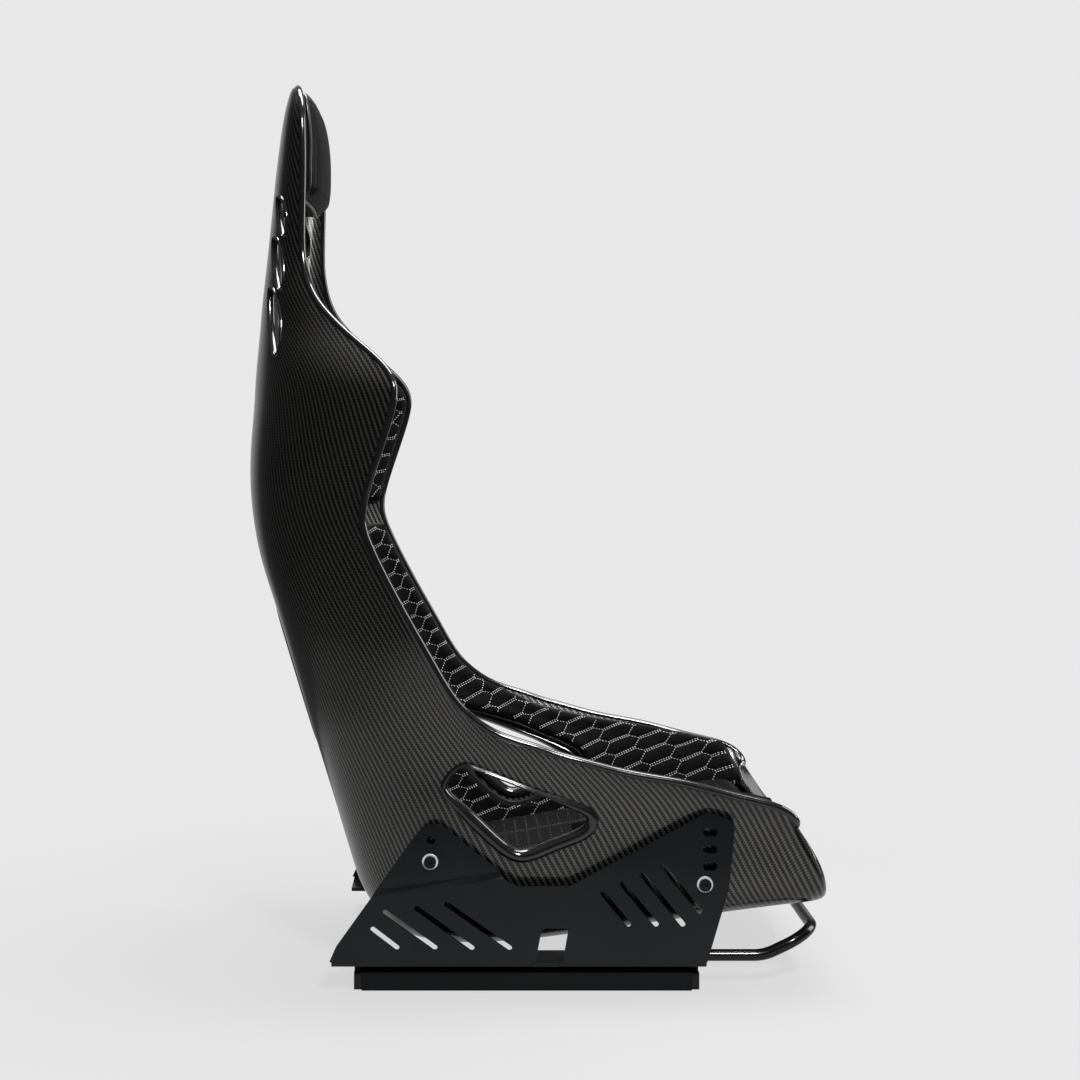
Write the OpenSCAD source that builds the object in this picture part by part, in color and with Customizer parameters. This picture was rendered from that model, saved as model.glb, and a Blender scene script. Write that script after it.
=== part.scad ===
// Racing seat: moulded bucket shell with pads, side brackets, slide rails and a release bar.
// +X is forward, +Y the sitter's left, +Z up. Origin: on the floor, under the middle of the seat.

/* [Shell] */
// Thickness of the moulded shell
shell_t = 4; // [3:0.5:5]
// Rows of facets along the shell, from the head to the front lip
shell_rows = 70; // [40:2:80]
// Facets across half of the shell
shell_cols = 13; // [8:1:15]

/* [Pads] */
// Thickness of the stitched side pads
pad_t = 16; // [10:1:22]
// Depth of the lumbar pad, measured from the shell's outer face
back_pad_depth = 36; // [24:1:40]
// Gap between the pads and the shell
pad_gap = 2.4; // [1.5:0.5:3]

/* [Side brackets] */
// Distance between the outer faces of the two brackets
bracket_span = 430; // [428:1:432]
// Thickness of the bracket plate
plate_t = 4; // [3:0.5:4]
// Distance between the two bolts on one side of the shell
side_bolt_spacing = 290; // [288:1:292]
// Diameter of the side-mount bolts
side_bolt_d = 8; // [8:1:8]

/* [Slide rails] */
// Distance between the centre lines of the two rails
rail_spacing = 352; // [350:1:354]
// Length of the lower rail
rail_length = 350; // [350:2:360]
// Width of the lower rail
rail_w = 48; // [46:1:50]
// Distance between the two floor bolts of one rail
floor_bolt_spacing = 300; // [290:5:300]
// Diameter of the holes for the floor bolts
floor_hole_d = 8.5; // [8.5:0.5:9]

/* [Release bar] */
// Diameter of the release bar's tube
bar_d = 12.5; // [11:0.5:13]

/* [Hidden] */
round_fn = 48;

// Stations of the shell, from the top of the head, down the back and along the base to the
// front lip: [back x, back z, rim x, rim z, half width at the rim, flare, squareness].
// The back point is on the outer face in the middle, the rim point on the edge.
STATIONS = [
    [-266, 981, -262, 979, 60, 2, 2.4],
    [-270, 975, -257, 974, 104, 3, 2.4],
    [-274, 962, -253, 961, 131, 6, 2.4],
    [-280, 936, -250, 935, 147, 8, 2.4],
    [-288, 880, -249, 880, 152, 12, 2.4],
    [-294, 825, -250, 822, 152, 14, 2.4],
    [-299, 780, -249, 783, 154, 16, 2.4],
    [-304, 738, -238, 742, 170, 20, 2.4],
    [-307, 704, -208, 706, 196, 24, 2.4],
    [-310, 672, -164, 668, 234, 28, 2.4],
    [-312, 645, -146, 643, 251, 30, 2.4],
    [-313, 618, -148, 617, 253, 30, 2.5],
    [-316, 575, -162, 572, 248, 28, 2.6],
    [-316, 535, -175, 532, 241, 26, 2.7],
    [-312, 495, -181, 500, 235, 24, 2.8],
    [-303, 450, -172, 470, 232, 22, 2.9],
    [-286, 396, -146, 418, 231, 22, 3.0],
    [-263, 320, -113, 359, 233, 28, 3.1],
    [-243, 256, -82, 307, 232, 30, 3.4],
    [-222, 190, -46, 278, 232, 32, 3.7],
    [-204, 132, -17, 267, 233, 33, 4.0],
    [-186, 82, 4, 261, 233, 33, 4.2],
    [-150, 43, 22, 254, 233, 33, 4.6],
    [-95, 30, 48, 247, 233, 33, 5],
    [-20, 34, 80, 238, 232, 32, 5.6],
    [60, 46, 112, 231, 231, 31, 6.2],
    [140, 59, 152, 224, 229, 29, 6.8],
    [215, 71, 194, 213, 226, 26, 7.2],
    [275, 80, 226, 205, 226, 24, 7.5],
    [306, 85, 244, 201, 226, 20, 7.5],
    [316, 93, 254, 198, 226, 15, 7.5],
    [315, 112, 263, 194, 224, 14, 7],
    [304, 137, 271, 187, 221, 12, 5.5],
    [286, 156, 276, 180, 216, 10, 4.2],
    [268, 166, 276, 175, 206, 8, 3.4]];
LAST = len(STATIONS) - 1;

// Side view, [x, z]: the three harness slots of one wing and the lap-belt opening
HARNESS_SLOTS = [
    [[-279, 851], [-272, 846], [-267, 828], [-268, 808], [-273, 807], [-278, 828]],
    [[-284, 806], [-276, 800], [-270, 774], [-271, 751], [-277, 748], [-283, 776]],
    [[-288, 750], [-279, 742], [-272, 712], [-274, 682], [-280, 677], [-287, 712]]];
LAP_OPENING = [[-94, 212], [-88, 230], [-74, 240], [-56, 236], [-8, 218], [38, 200], [61, 187],
    [56, 169], [20, 153], [-2, 144], [-18, 143], [-36, 154], [-72, 188]];
lap_bezel_r = 5;
slot_bezel_r = 3;

vent_half_w = 62;
vent_low_z = 236;
vent_high_z = 398;
strap_x = 62;
strap_half_w = 36;
strap_half_l = 13;

bracket_y = bracket_span / 2;
rear_tab_step = 8;
flange_z = 28;
front_bolt = [180, 116];
side_tilt = 4.4;
rear_bolt = [front_bolt[0] - side_bolt_spacing * cos(side_tilt),
    front_bolt[1] + side_bolt_spacing * sin(side_tilt)];

rail_y = rail_spacing / 2;
rail_mid_x = -7;
rail_t = 3;
lower_h = 20;
lip_w = 12;
hook_t = 2.5;
hook_z = 12.5;
leg_y = 8.5;
foot_y = 19;
foot_z = 8;
foot_top_z = 12;
ball_d = 4.7;
ball_rows_z = [rail_t + 2.5, foot_top_z + 2.5];
ball_y = 17.6;
cage_length = 130;
ball_pitch = 30;
flange_bolts_x = [-137, 60];

pawl_pivot = [40, 15];
tooth_x = 9.75;
travel = 84;
stop_x = 170;
insert_d = 12;
insert_flange_d = 19;
head_front_x = -229;
cushion_x = [-138, 256];
joint_low = [-170.5, 102.2];
joint_high = [-32.5, 121.6];
pawl_w = 12;
window_pitch = 12;
window_l = 7;
pin_d = 5;
bar_pivot = [164, 37];
bar_x = 303;
bar_z = 58;
bar_bend_r = 36;

// Interpolation ---------------------------------------------------------------------------

function blend(p0, p1, p2, p3, t) = 0.5 * (2 * p1 + (p2 - p0) * t
    + (2 * p0 - 5 * p1 + 4 * p2 - p3) * t * t + (3 * p1 - p0 - 3 * p2 + p3) * t * t * t);

// The station at t, which runs from 0 at the head to LAST at the front lip
function station(t) = let(i = min(floor(t), LAST - 1)) blend(STATIONS[max(i - 1, 0)],
    STATIONS[i], STATIONS[i + 1], STATIONS[min(i + 2, LAST)], t - i);

// A closed smooth curve through points, with a few steps between each two
function closed_curve(points, steps = 4) = let(n = len(points)) [for (i = [0:n - 1],
    k = [0:steps - 1]) blend(points[(i + n - 1) % n], points[i], points[(i + 1) % n],
    points[(i + 2) % n], k / steps)];

// The points of a corner outline with each corner rounded to its radius, in two or three
// dimensions; a radius of 0 keeps the corner
function fillet(points, radii, steps = 6) = let(n = len(points)) [for (i = [0:n - 1]) let(
    p = points[i], a = points[(i + n - 1) % n] - p, b = points[(i + 1) % n] - p,
    ua = a / norm(a), ub = b / norm(b), half = acos(max(-1, min(1, ua * ub))) / 2,
    r = radii[i]) each (r == 0 ? [p] : let(mid = (ua + ub) / norm(ua + ub),
    centre = p + mid * (r / sin(half)), sweep = 90 - half,
    side = (ua - ub) / norm(ua - ub))
    [for (k = [0:steps]) let(w = sweep - 2 * sweep * k / steps)
        centre - mid * (r * cos(w)) + side * (r * sin(w))])];

// A closed outline moved outwards from its middle by d
function grown(points, d) = let(c = middle(points))
    [for (p = points) p + (p - c) / norm(p - c) * d];
function middle(points) = [for (k = [0:1]) ones(len(points)) * [for (p = points) p[k]]
    / len(points)];
function ones(n) = [for (i = [1:n]) 1];

// Outer face of the shell: t along the stations, v from -1 (right rim) to 1 (left rim). The
// section is a rounded box, wider at the rim by the flare; squarer sections flare later.
function skin(t, v) = let(s = station(t), a = 90 * abs(v), n = s[6],
    k = pow(pow(sin(a), n) + pow(cos(a), n), 1 / n),
    rise = 1 - cos(a) / k,
    out = (s[4] - s[5]) * sin(a) / k + s[5] * pow(rise, min(5.2, 2.5 * n - 4.5)))
    [s[0] + (s[2] - s[0]) * rise, sign(v) * out, s[1] + (s[3] - s[1]) * rise];

// Unit normal of the outer face, towards the sitter
function skin_normal(t, v) = let(d = 0.02,
    along = skin(min(t + d, LAST), v) - skin(max(t - d, 0), v),
    over = skin(t, min(v + d, 1)) - skin(t, max(v - d, -1)),
    n = cross(along, over)) n / norm(n);

function inside(t, v, depth) = skin(t, v) + skin_normal(t, v) * depth;

// Where a side-view point [x, z] lies on the shell: [t, v] on the left half
function turn(t, p) = let(s = station(t))
    (s[2] - s[0]) * (p[1] - s[1]) - (s[3] - s[1]) * (p[0] - s[0]);
function find_t(p, low, high, n = 22) = let(m = (low + high) / 2)
    n == 0 ? m : turn(low, p) * turn(m, p) <= 0 ? find_t(p, low, m, n - 1)
    : find_t(p, m, high, n - 1);
function locate(p) = let(t = find_t(p, 1, LAST - 3), s = station(t),
    d = [s[2] - s[0], s[3] - s[1]],
    deep = 1 - ((p - [s[0], s[1]]) * d) / (d * d))
    [t, atan(pow(pow(deep, -s[6]) - 1, 1 / s[6])) / 90];

// Where the shell's outer face has skin()[axis] = value and skin()[1] = y, between t0 and t1
function v_for(t, y, low = 0, high = 1, n = 18) = let(m = (low + high) / 2) n == 0
    ? m * sign(y) : skin(t, m)[1] > abs(y) ? v_for(t, y, low, m, n - 1)
    : v_for(t, y, m, high, n - 1);
function spot(axis, value, y, low, high, n = 18) = let(m = (low + high) / 2,
    here = skin(m, v_for(m, y))[axis], falling = axis == 2) n == 0 ? [m, v_for(m, y)]
    : (here > value) == falling ? spot(axis, value, y, m, high, n - 1)
    : spot(axis, value, y, low, m, n - 1);

// Solids from grids -----------------------------------------------------------------------

// Closed solid between two grids of points of the same size
module between(outer, inner) {
    rows = len(outer);
    cols = len(outer[0]);
    function o(i, j) = i * cols + j;
    function n(i, j) = rows * cols + i * cols + j;
    points = concat([for (r = outer) for (p = r) p], [for (r = inner) for (p = r) p]);
    skins = [for (i = [0:rows - 2], j = [0:cols - 2]) each [
        [o(i, j), o(i + 1, j), o(i + 1, j + 1)], [o(i, j), o(i + 1, j + 1), o(i, j + 1)],
        [n(i, j), n(i + 1, j + 1), n(i + 1, j)], [n(i, j), n(i, j + 1), n(i + 1, j + 1)]]];
    ends = [for (j = [0:cols - 2], e = [0, rows - 1]) each e == 0
        ? [[o(e, j), o(e, j + 1), n(e, j + 1)], [o(e, j), n(e, j + 1), n(e, j)]]
        : [[o(e, j), n(e, j + 1), o(e, j + 1)], [o(e, j), n(e, j), n(e, j + 1)]]];
    sides = [for (i = [0:rows - 2], e = [0, cols - 1]) each e == 0
        ? [[o(i, e), n(i + 1, e), o(i + 1, e)], [o(i, e), n(i, e), n(i + 1, e)]]
        : [[o(i, e), o(i + 1, e), n(i + 1, e)], [o(i, e), n(i + 1, e), n(i, e)]]];
    polyhedron(points, concat(skins, ends, sides));
}

// Ring of oval section along a closed path of [point, normal] pairs
module ring(path, r_across, r_through) {
    n = len(path);
    sides = 8;
    points = [for (i = [0:n - 1]) let(p = path[i][0], up = path[i][1],
        along = path[(i + 1) % n][0] - path[(i + n - 1) % n][0],
        c = cross(along, up), across = c / norm(c)) for (k = [0:sides - 1])
        p + across * r_across * cos(360 * k / sides) + up * r_through * sin(360 * k / sides)];
    faces = [for (i = [0:n - 1], k = [0:sides - 1]) let(a = i * sides, b = ((i + 1) % n) * sides,
        l = (k + 1) % sides) each [[a + k, b + l, b + k], [a + k, a + l, b + l]]];
    polyhedron(points, faces);
}

// Prism of a side-view outline on both sides of the seat, from y = low to y = high
module side_prism(outline, low, high) {
    for (s = [-1, 1]) translate([0, s * (low + high) / 2 + (high - low) / 2, 0])
        rotate([90, 0, 0]) linear_extrude(high - low) polygon(outline);
}

// Repeated shapes -------------------------------------------------------------------------

module slot2d(a, b, w) {
    d = b - a;
    translate(a) rotate(atan2(d[1], d[0])) {
        translate([0, -w / 2]) square([norm(d), w]);
        circle(d = w, $fn = round_fn);
        translate([norm(d), 0]) circle(d = w, $fn = round_fn);
    }
}

// Cylinder along Y, from y = low to y = high, at the side-view point [x, z]
module pin_y(at, d, low, high) {
    translate([at[0], high, at[1]]) rotate([90, 0, 0]) cylinder(d = d, h = high - low,
        $fn = round_fn);
}

module hex(across, h) {
    cylinder(d = across / cos(30), h = h, $fn = 6);
}

// Draws its children on the left, on the right, or on both sides
module on_left() {
    children();
}

module on_right() {
    mirror([0, 1, 0]) children();
}

module both_sides() {
    on_left() children();
    on_right() children();
}

// Shell and trim --------------------------------------------------------------------------

// Corner points of a rectangle about [0, mid], rounded with radius r
function rounded_box(mid, half_w, half_h, r) = fillet([[mid[0] - half_w, mid[1] - half_h],
    [mid[0] + half_w, mid[1] - half_h], [mid[0] + half_w, mid[1] + half_h],
    [mid[0] - half_w, mid[1] + half_h]], [r, r, r, r]);

vent_outline = rounded_box([0, (vent_low_z + vent_high_z) / 2], vent_half_w,
    (vent_high_z - vent_low_z) / 2, 30);
strap_outline = rounded_box([strap_x, 0], strap_half_l, strap_half_w, 10);

module shell() {
    ts = [for (i = [0:shell_rows]) LAST * i / shell_rows];
    vs = [for (j = [-shell_cols:shell_cols]) j / shell_cols];
    color([0.07, 0.075, 0.08]) difference() {
        between([for (t = ts) [for (v = vs) skin(t, v)]],
            [for (t = ts) [for (v = vs) inside(t, v, shell_t)]]);
        for (slot = HARNESS_SLOTS) side_prism(closed_curve(slot), 60, 240);
        side_prism(closed_curve(LAP_OPENING), 100, 260);
        translate([-350, 0, 0]) rotate([90, 0, 90]) linear_extrude(150)
            polygon(vent_outline);
        linear_extrude(90) polygon(strap_outline);
        for (b = [front_bolt, rear_bolt]) both_sides() pin_y(b, insert_d, 150, 240);
    }
}

// Path of a bezel that follows the edge of a side-view outline, in the middle of the wall
function edge_path(outline) = [for (p = closed_curve(outline)) let(w = locate(p),
    n = skin_normal(w[0], w[1])) [inside(w[0], w[1], shell_t / 2), n]];

module lap_bezel() {
    color([0.03, 0.03, 0.035]) ring(edge_path(LAP_OPENING), lap_bezel_r, lap_bezel_r + 1.5);
}

module lap_bezel_left() on_left() lap_bezel();
module lap_bezel_right() on_right() lap_bezel();

module harness_bezels() {
    color([0.03, 0.03, 0.035])
        for (slot = HARNESS_SLOTS) ring(edge_path(slot), slot_bezel_r, slot_bezel_r + 1.5);
}

module harness_bezels_left() on_left() harness_bezels();
module harness_bezels_right() on_right() harness_bezels();

// Path of a bezel round an opening in the middle of the shell; axis is 2 for the back,
// whose outline is drawn in [y, z], and 0 for the base, drawn in [x, y]
function middle_path(outline, axis, t0, t1) = [for (p = outline) let(
    w = axis == 2 ? spot(2, p[1], p[0], t0, t1) : spot(0, p[0], p[1], t0, t1))
    [inside(w[0], w[1], shell_t / 2), skin_normal(w[0], w[1])]];

module back_vent_bezel() {
    color([0.03, 0.03, 0.035])
        ring(middle_path(vent_outline, 2, 13, 20), slot_bezel_r, slot_bezel_r + 0.6);
}

module strap_slot_bezel() {
    color([0.03, 0.03, 0.035])
        ring(middle_path(strap_outline, 0, 22, 28), slot_bezel_r, slot_bezel_r + 1);
}

// Pads ------------------------------------------------------------------------------------

// How far the middle of a pad stands out, from 0 at its edges to 1; p and q run from 0 to 1
function puff(p, q) = pow(max(0, 1 - pow(abs(2 * p - 1), 5)), 0.5)
    * pow(max(0, 1 - pow(abs(2 * q - 1), 5)), 0.5);

// A pad on the shell's inner face, over t0..t1 and v0..v1
module skin_pad(t0, t1, v0, v1, rows, cols, thick = pad_t) {
    function at(i, j, lift) = let(p = i / rows, q = j / cols)
        inside(t0 + (t1 - t0) * p, v0 + (v1 - v0) * q, shell_t + pad_gap
            + lift * (0.3 + 0.7 * puff(p, q)) * thick);
    between([for (i = [0:rows]) [for (j = [0:cols]) at(i, j, 0)]],
        [for (i = [0:rows]) [for (j = [0:cols]) at(i, j, 1)]]);
}

// Front face of the head pad, x at height p from 0 (bottom) to 1 (top)
function head_front(p) = head_front_x - 19.6 * pow(max(0, p - 0.45) / 0.55, 2)
    - 12 * pow(max(0, 0.12 - p) / 0.12, 2);

module head_pad() {
    rows = 16;
    cols = 12;
    z0 = 853;
    z1 = 971;
    half_w = 104;
    function back(p, q) = let(c = z0 + (z1 - z0) * p, y = half_w * q
        * (1 - 0.16 * pow(abs(2 * p - 1), 6)), w = spot(2, c, y, 1, 6))
        inside(w[0], w[1], shell_t + pad_gap);
    function front(p, q) = let(b = back(p, q)) [max(b[0] + 4, head_front(p) - 9 * q * q),
        b[1] * 0.98, b[2]];
    color([0.04, 0.04, 0.045])
        between([for (i = [rows:-1:0]) [for (j = [-cols:cols]) back(i / rows, j / cols)]],
            [for (i = [rows:-1:0]) [for (j = [-cols:cols]) front(i / rows, j / cols)]]);
}

module shoulder_pad() {
    color([0.05, 0.05, 0.055]) skin_pad(9.1, 13.9, -0.965, 0.965, 14, 26);
}

module back_pad() {
    rows = 14;
    cols = 12;
    function floor_at(p, q) = inside(15 + 4.6 * p, 0.5 * q, shell_t + pad_gap);
    function top_at(p, q) = let(t = 15 + 4.6 * p, b = floor_at(p, q), s = station(t),
        d = [s[2] - s[0], 0, s[3] - s[1]] / norm([s[2] - s[0], s[3] - s[1]]),
        a = [s[0], 0, s[1]], high = (b - a) * d,
        lift = back_pad_depth * (0.55 + 0.45 * puff(p, (q + 1) / 2)))
        b + d * max(4, lift - high);
    color([0.05, 0.05, 0.055])
        between([for (i = [0:rows]) [for (j = [-cols:cols]) floor_at(i / rows, j / cols)]],
            [for (i = [0:rows]) [for (j = [-cols:cols]) top_at(i / rows, j / cols)]]);
}

module bolster_pad() {
    color([0.05, 0.05, 0.055]) difference() {
        skin_pad(14.9, 29, 0.56, 0.965, 34, 8);
        side_prism(grown(closed_curve(LAP_OPENING), 13), 100, 260);
        for (b = [front_bolt, rear_bolt])
            pin_y(b, insert_flange_d + 2, shell_side(b) - 12.6, 260);
    }
}

module bolster_pad_left() on_left() bolster_pad();
module bolster_pad_right() on_right() bolster_pad();

// Height of the cushion's top in the middle, at x
function cushion_top(x) = let(p = (x - cushion_x[0]) / (cushion_x[1] - cushion_x[0]))
    112 + 70 * pow(max(0, p), 1.25) - 10 * pow(max(0, p - 0.9) / 0.1, 2)
    - 22 * pow(max(0, 0.1 - p) / 0.1, 2);

module seat_cushion() {
    rows = 18;
    cols = 9;
    function low(x, q) = let(y = 140 * q, w = spot(0, x, y, 21, 29))
        inside(w[0], w[1], shell_t + pad_gap + 1);
    function high(x, q) = [x, 174 * q * (1 - 0.08 * pow(abs(q), 4)), cushion_top(x)
        - 8 * pow(abs(q), 3)];
    xs = [for (i = [0:rows]) cushion_x[0] + (cushion_x[1] - cushion_x[0]) * i / rows];
    color([0.05, 0.05, 0.055]) difference() {
        between([for (x = xs) [for (j = [-cols:cols]) low(x, j / cols)]],
            [for (x = xs) [for (j = [-cols:cols]) high(x, j / cols)]]);
        linear_extrude(200) polygon(strap_outline);
    }
}

// Hook-and-loop patches behind the pads: [t0, t1, v0, v1]
PATCHES = [[3.4, 4.6, -0.22, 0.22], [10, 10.8, -0.25, 0.25], [12, 12.8, -0.25, 0.25],
    [15.15, 15.5, -0.2, 0.2], [18.7, 19.2, -0.2, 0.2], [23, 23.5, -0.2, 0.2],
    [26.4, 26.9, -0.2, 0.2], [16.5, 17.5, 0.66, 0.76], [16.5, 17.5, -0.76, -0.66],
    [26.5, 27.5, 0.66, 0.76], [26.5, 27.5, -0.76, -0.66]];

module hook_patches() {
    n = 6;
    function at(r, i, j, depth) = inside(r[0] + (r[1] - r[0]) * i / n,
        r[2] + (r[3] - r[2]) * j / n, shell_t + depth);
    color([0.09, 0.09, 0.09]) for (r = PATCHES)
        between([for (i = [0:n]) [for (j = [0:n]) at(r, i, j, 1)]],
            [for (i = [0:n]) [for (j = [0:n]) at(r, i, j, pad_gap - 0.6)]]);
}

// Side brackets ---------------------------------------------------------------------------

module bracket_plate_2d() {
    difference() {
        polygon(fillet([[-216, 32], [-208, 50], [joint_low[0], joint_low[1]],
            [joint_high[0], joint_high[1]], [-19, 113.5], [38, 113.5], [166, 182],
            [184, 192], [212, 181], [209, 145], [205, 110], [182, 32]],
            [2, 20, 0, 0, 14, 14, 0, 14, 10, 60, 60, 2]));
        polygon([[-1, 20], [8, 66], [12, 69.5], [37, 69.5], [28, 20]]);
        for (s = [[[-169, 68.5], [-144, 49.5]], [[-156, 86.5], [-104, 49.5]],
            [[-123, 90.5], [-65, 49]], [[-91.5, 95], [-25.5, 49]],
            [[73, 106], [100, 73.5]], [[93, 116], [129, 73.5]],
            [[114, 126], [157, 73.5]], [[136, 135], [175, 87]]]) slot2d(s[0], s[1], 5.6);
        for (z = [front_bolt[1] + 18.5, front_bolt[1] + 36.5, front_bolt[1] + 54.5])
            slot2d([182.5, z], [189, z], side_bolt_d + 0.6);
        translate(front_bolt) circle(d = side_bolt_d + 0.6, $fn = round_fn);
    }
}

module bracket_tab_2d() {
    difference() {
        polygon(fillet([joint_low + [4, 6], [-124, 166], [-107, 184],
            joint_high + [-3, 6]], [0, 14, 17, 0]));
        translate(rear_bolt) circle(d = side_bolt_d + 0.6, $fn = round_fn);
        translate(rear_bolt + [1, 22.5]) circle(d = side_bolt_d + 0.6, $fn = round_fn);
    }
}

// The slanting strip that joins the plate to the rear tab, which sits further in
module bracket_step() {
    a = joint_low;
    b = joint_high;
    c = b + [-3, 6];
    d = a + [4, 6];
    out = bracket_y;
    in = bracket_y - rear_tab_step;
    points = [[a[0], out, a[1]], [b[0], out, b[1]], [c[0], in, c[1]], [d[0], in, d[1]],
        [a[0], out - plate_t, a[1]], [b[0], out - plate_t, b[1]],
        [c[0], in - plate_t, c[1]], [d[0], in - plate_t, d[1]]];
    polyhedron(points, [[0, 1, 2, 3], [7, 6, 5, 4], [0, 4, 5, 1], [1, 5, 6, 2],
        [2, 6, 7, 3], [3, 7, 4, 0]]);
}

// Stands a side-view outline up as a plate with its outer face at y
module upright(y, t) {
    translate([0, y, 0]) rotate([90, 0, 0]) linear_extrude(t) children();
}

module side_bracket() {
    r = 6;
    profile = concat([[bracket_y - 60, flange_z], [bracket_y - r, flange_z]],
        [for (a = [10:10:80]) [bracket_y - r + r * sin(a), flange_z + r - r * cos(a)]],
        [[bracket_y, flange_z + r], [bracket_y - plate_t, flange_z + r],
        [bracket_y - plate_t, flange_z + plate_t], [bracket_y - 60, flange_z + plate_t]]);
    color([0.05, 0.05, 0.055]) {
        upright(bracket_y, plate_t) difference() {
            bracket_plate_2d();
            translate([-300, 0]) square([600, flange_z + r]);
        }
        upright(bracket_y - rear_tab_step, plate_t) bracket_tab_2d();
        bracket_step();
        difference() {
            translate([-213, 0, 0]) rotate([90, 0, 90]) linear_extrude(395) polygon(profile);
            for (x = flange_bolts_x) translate([x, rail_y, 20])
                cylinder(d = side_bolt_d + 0.4, h = 20, $fn = round_fn);
            translate([74, bracket_y - 70, 20]) cube([120, 50, 20]);
            translate([-1, bracket_y - plate_t, 20]) cube([28, 20, 20]);
        }
    }
}

module side_bracket_left() on_left() side_bracket();
module side_bracket_right() on_right() side_bracket();

// Where the outer face of the shell is beside a bolt, and the outer face of the bracket there
function shell_side(b) = let(w = locate(b)) skin(w[0], w[1])[1];
function plate_side(b) = bracket_y - (b == rear_bolt ? rear_tab_step : 0);

module mount_inserts() {
    color([0.75, 0.7, 0.45]) for (b = [front_bolt, rear_bolt]) both_sides() difference() {
        union() {
            pin_y(b, insert_d - 0.1, shell_side(b) - 11.2, shell_side(b) + 0.6);
            pin_y(b, insert_flange_d, shell_side(b) - 11.2, shell_side(b) - 9.7);
        }
        pin_y(b, side_bolt_d + 0.1, 100, 260);
    }
}

module side_spacers() {
    color([0.7, 0.7, 0.72]) for (b = [front_bolt, rear_bolt]) both_sides() difference() {
        pin_y(b, 16, shell_side(b) + 2.4, plate_side(b) - plate_t);
        pin_y(b, side_bolt_d + 0.4, 100, 260);
    }
}

module side_washers() {
    color([0.8, 0.8, 0.82]) for (b = [front_bolt, rear_bolt]) both_sides() difference() {
        pin_y(b, 17, plate_side(b), plate_side(b) + 1.6);
        pin_y(b, side_bolt_d + 0.4, 100, 260);
    }
}

// Head of a side bolt: a button with a hexagon socket
module side_bolts() {
    color([0.1, 0.1, 0.11]) for (b = [front_bolt, rear_bolt]) both_sides() difference() {
        union() {
            pin_y(b, side_bolt_d, shell_side(b) - 8, plate_side(b) + 2);
            pin_y(b, 13, plate_side(b) + 1.6, plate_side(b) + 6);
        }
        translate([b[0], plate_side(b) + 3, b[1]]) rotate([-90, 0, 0]) hex(5, 9);
    }
}

module flange_screws() {
    color([0.3, 0.3, 0.32]) for (x = flange_bolts_x) both_sides() translate([x, rail_y, 0]) {
        translate([0, 0, 17.8]) cylinder(d = side_bolt_d, h = 15, $fn = round_fn);
        translate([0, 0, flange_z + plate_t]) difference() {
            cylinder(d = 14, h = 4.4, $fn = round_fn);
            translate([0, 0, 1.6]) hex(5, 6);
        }
    }
}

module flange_nuts() {
    color([0.6, 0.6, 0.62]) for (x = flange_bolts_x) both_sides() translate([x, rail_y, 18.4])
        difference() {
            hex(13, flange_z - rail_t - 18.4);
            translate([0, 0, -1]) cylinder(d = side_bolt_d + 0.1, h = 20, $fn = round_fn);
        }
}

// Slide rails -----------------------------------------------------------------------------

// Runs a profile drawn in [y, z] about the rail's centre line along X, from x0 to x1
module along_rail(x0, x1) {
    translate([x0, rail_y, 0]) rotate([90, 0, 90]) linear_extrude(x1 - x0) children();
}

// Whole profile from the half drawn for positive y
module whole_profile(half) {
    n = len(half) - 1;
    polygon(concat(half, [for (k = [n:-1:0]) [-half[k][0], half[k][1]]]));
}

// Half section of the lower rail; the end caps stand back from its outer faces by inset
module lower_profile(inset = 0) {
    h = rail_w / 2;
    whole_profile([[h - inset, inset], [h - inset, lower_h - inset],
        [h - lip_w, lower_h - inset], [h - lip_w, hook_z], [h - lip_w + hook_t, hook_z],
        [h - lip_w + hook_t, lower_h - rail_t], [h - rail_t, lower_h - rail_t],
        [h - rail_t, rail_t]]);
}

module upper_profile() {
    whole_profile([[leg_y, flange_z - rail_t], [leg_y, foot_z],
        [foot_y, foot_z], [foot_y, foot_top_z], [foot_y - 3.5, foot_top_z],
        [foot_y - 3.5, foot_z + 2.5], [leg_y + rail_t, foot_z + 2.5],
        [leg_y + rail_t, flange_z]]);
}

rail_x = [rail_mid_x - rail_length / 2, rail_mid_x + rail_length / 2];

module lower_rail() {
    color([0.06, 0.06, 0.065]) difference() {
        along_rail(rail_x[0], rail_x[1]) lower_profile();
        for (s = [-1, 1]) translate([rail_mid_x + s * floor_bolt_spacing / 2, rail_y, -1])
            cylinder(d = floor_hole_d, h = 6, $fn = round_fn);
        for (k = [-7:7]) translate([tooth_x - window_l / 2 + k * window_pitch,
            rail_y - pawl_w / 2 - 1, -1]) cube([window_l, pawl_w + 2, 6]);
    }
}

module lower_rail_left() on_left() lower_rail();
module lower_rail_right() on_right() lower_rail();

module upper_rail() {
    color([0.12, 0.12, 0.125]) difference() {
        along_rail(rail_x[0] - 8, rail_x[1] + 8) upper_profile();
        for (x = flange_bolts_x) translate([x, rail_y, 20])
            cylinder(d = side_bolt_d + 0.4, h = 20, $fn = round_fn);
        pin_y(pawl_pivot, pin_d + 0.1, rail_y - 20, rail_y + 20);
        translate([76, rail_y - 4.5, 20]) cube([60, 9, 20]);
    }
}

module upper_rail_left() on_left() upper_rail();
module upper_rail_right() on_right() upper_rail();

// Small blocks on the rail floor that stop the travel at each end
module stop_blocks(x, z0, z1) {
    for (e = [-1, 1], s = [-1, 1]) translate([rail_mid_x + e * x - 4, rail_y + s * 11.2 - 2,
        z0]) cube([8, 4, z1 - z0]);
}

module rail_end_stops() {
    color([0.5, 0.5, 0.52]) both_sides() stop_blocks(stop_x, rail_t, rail_t + 3.6);
}

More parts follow.
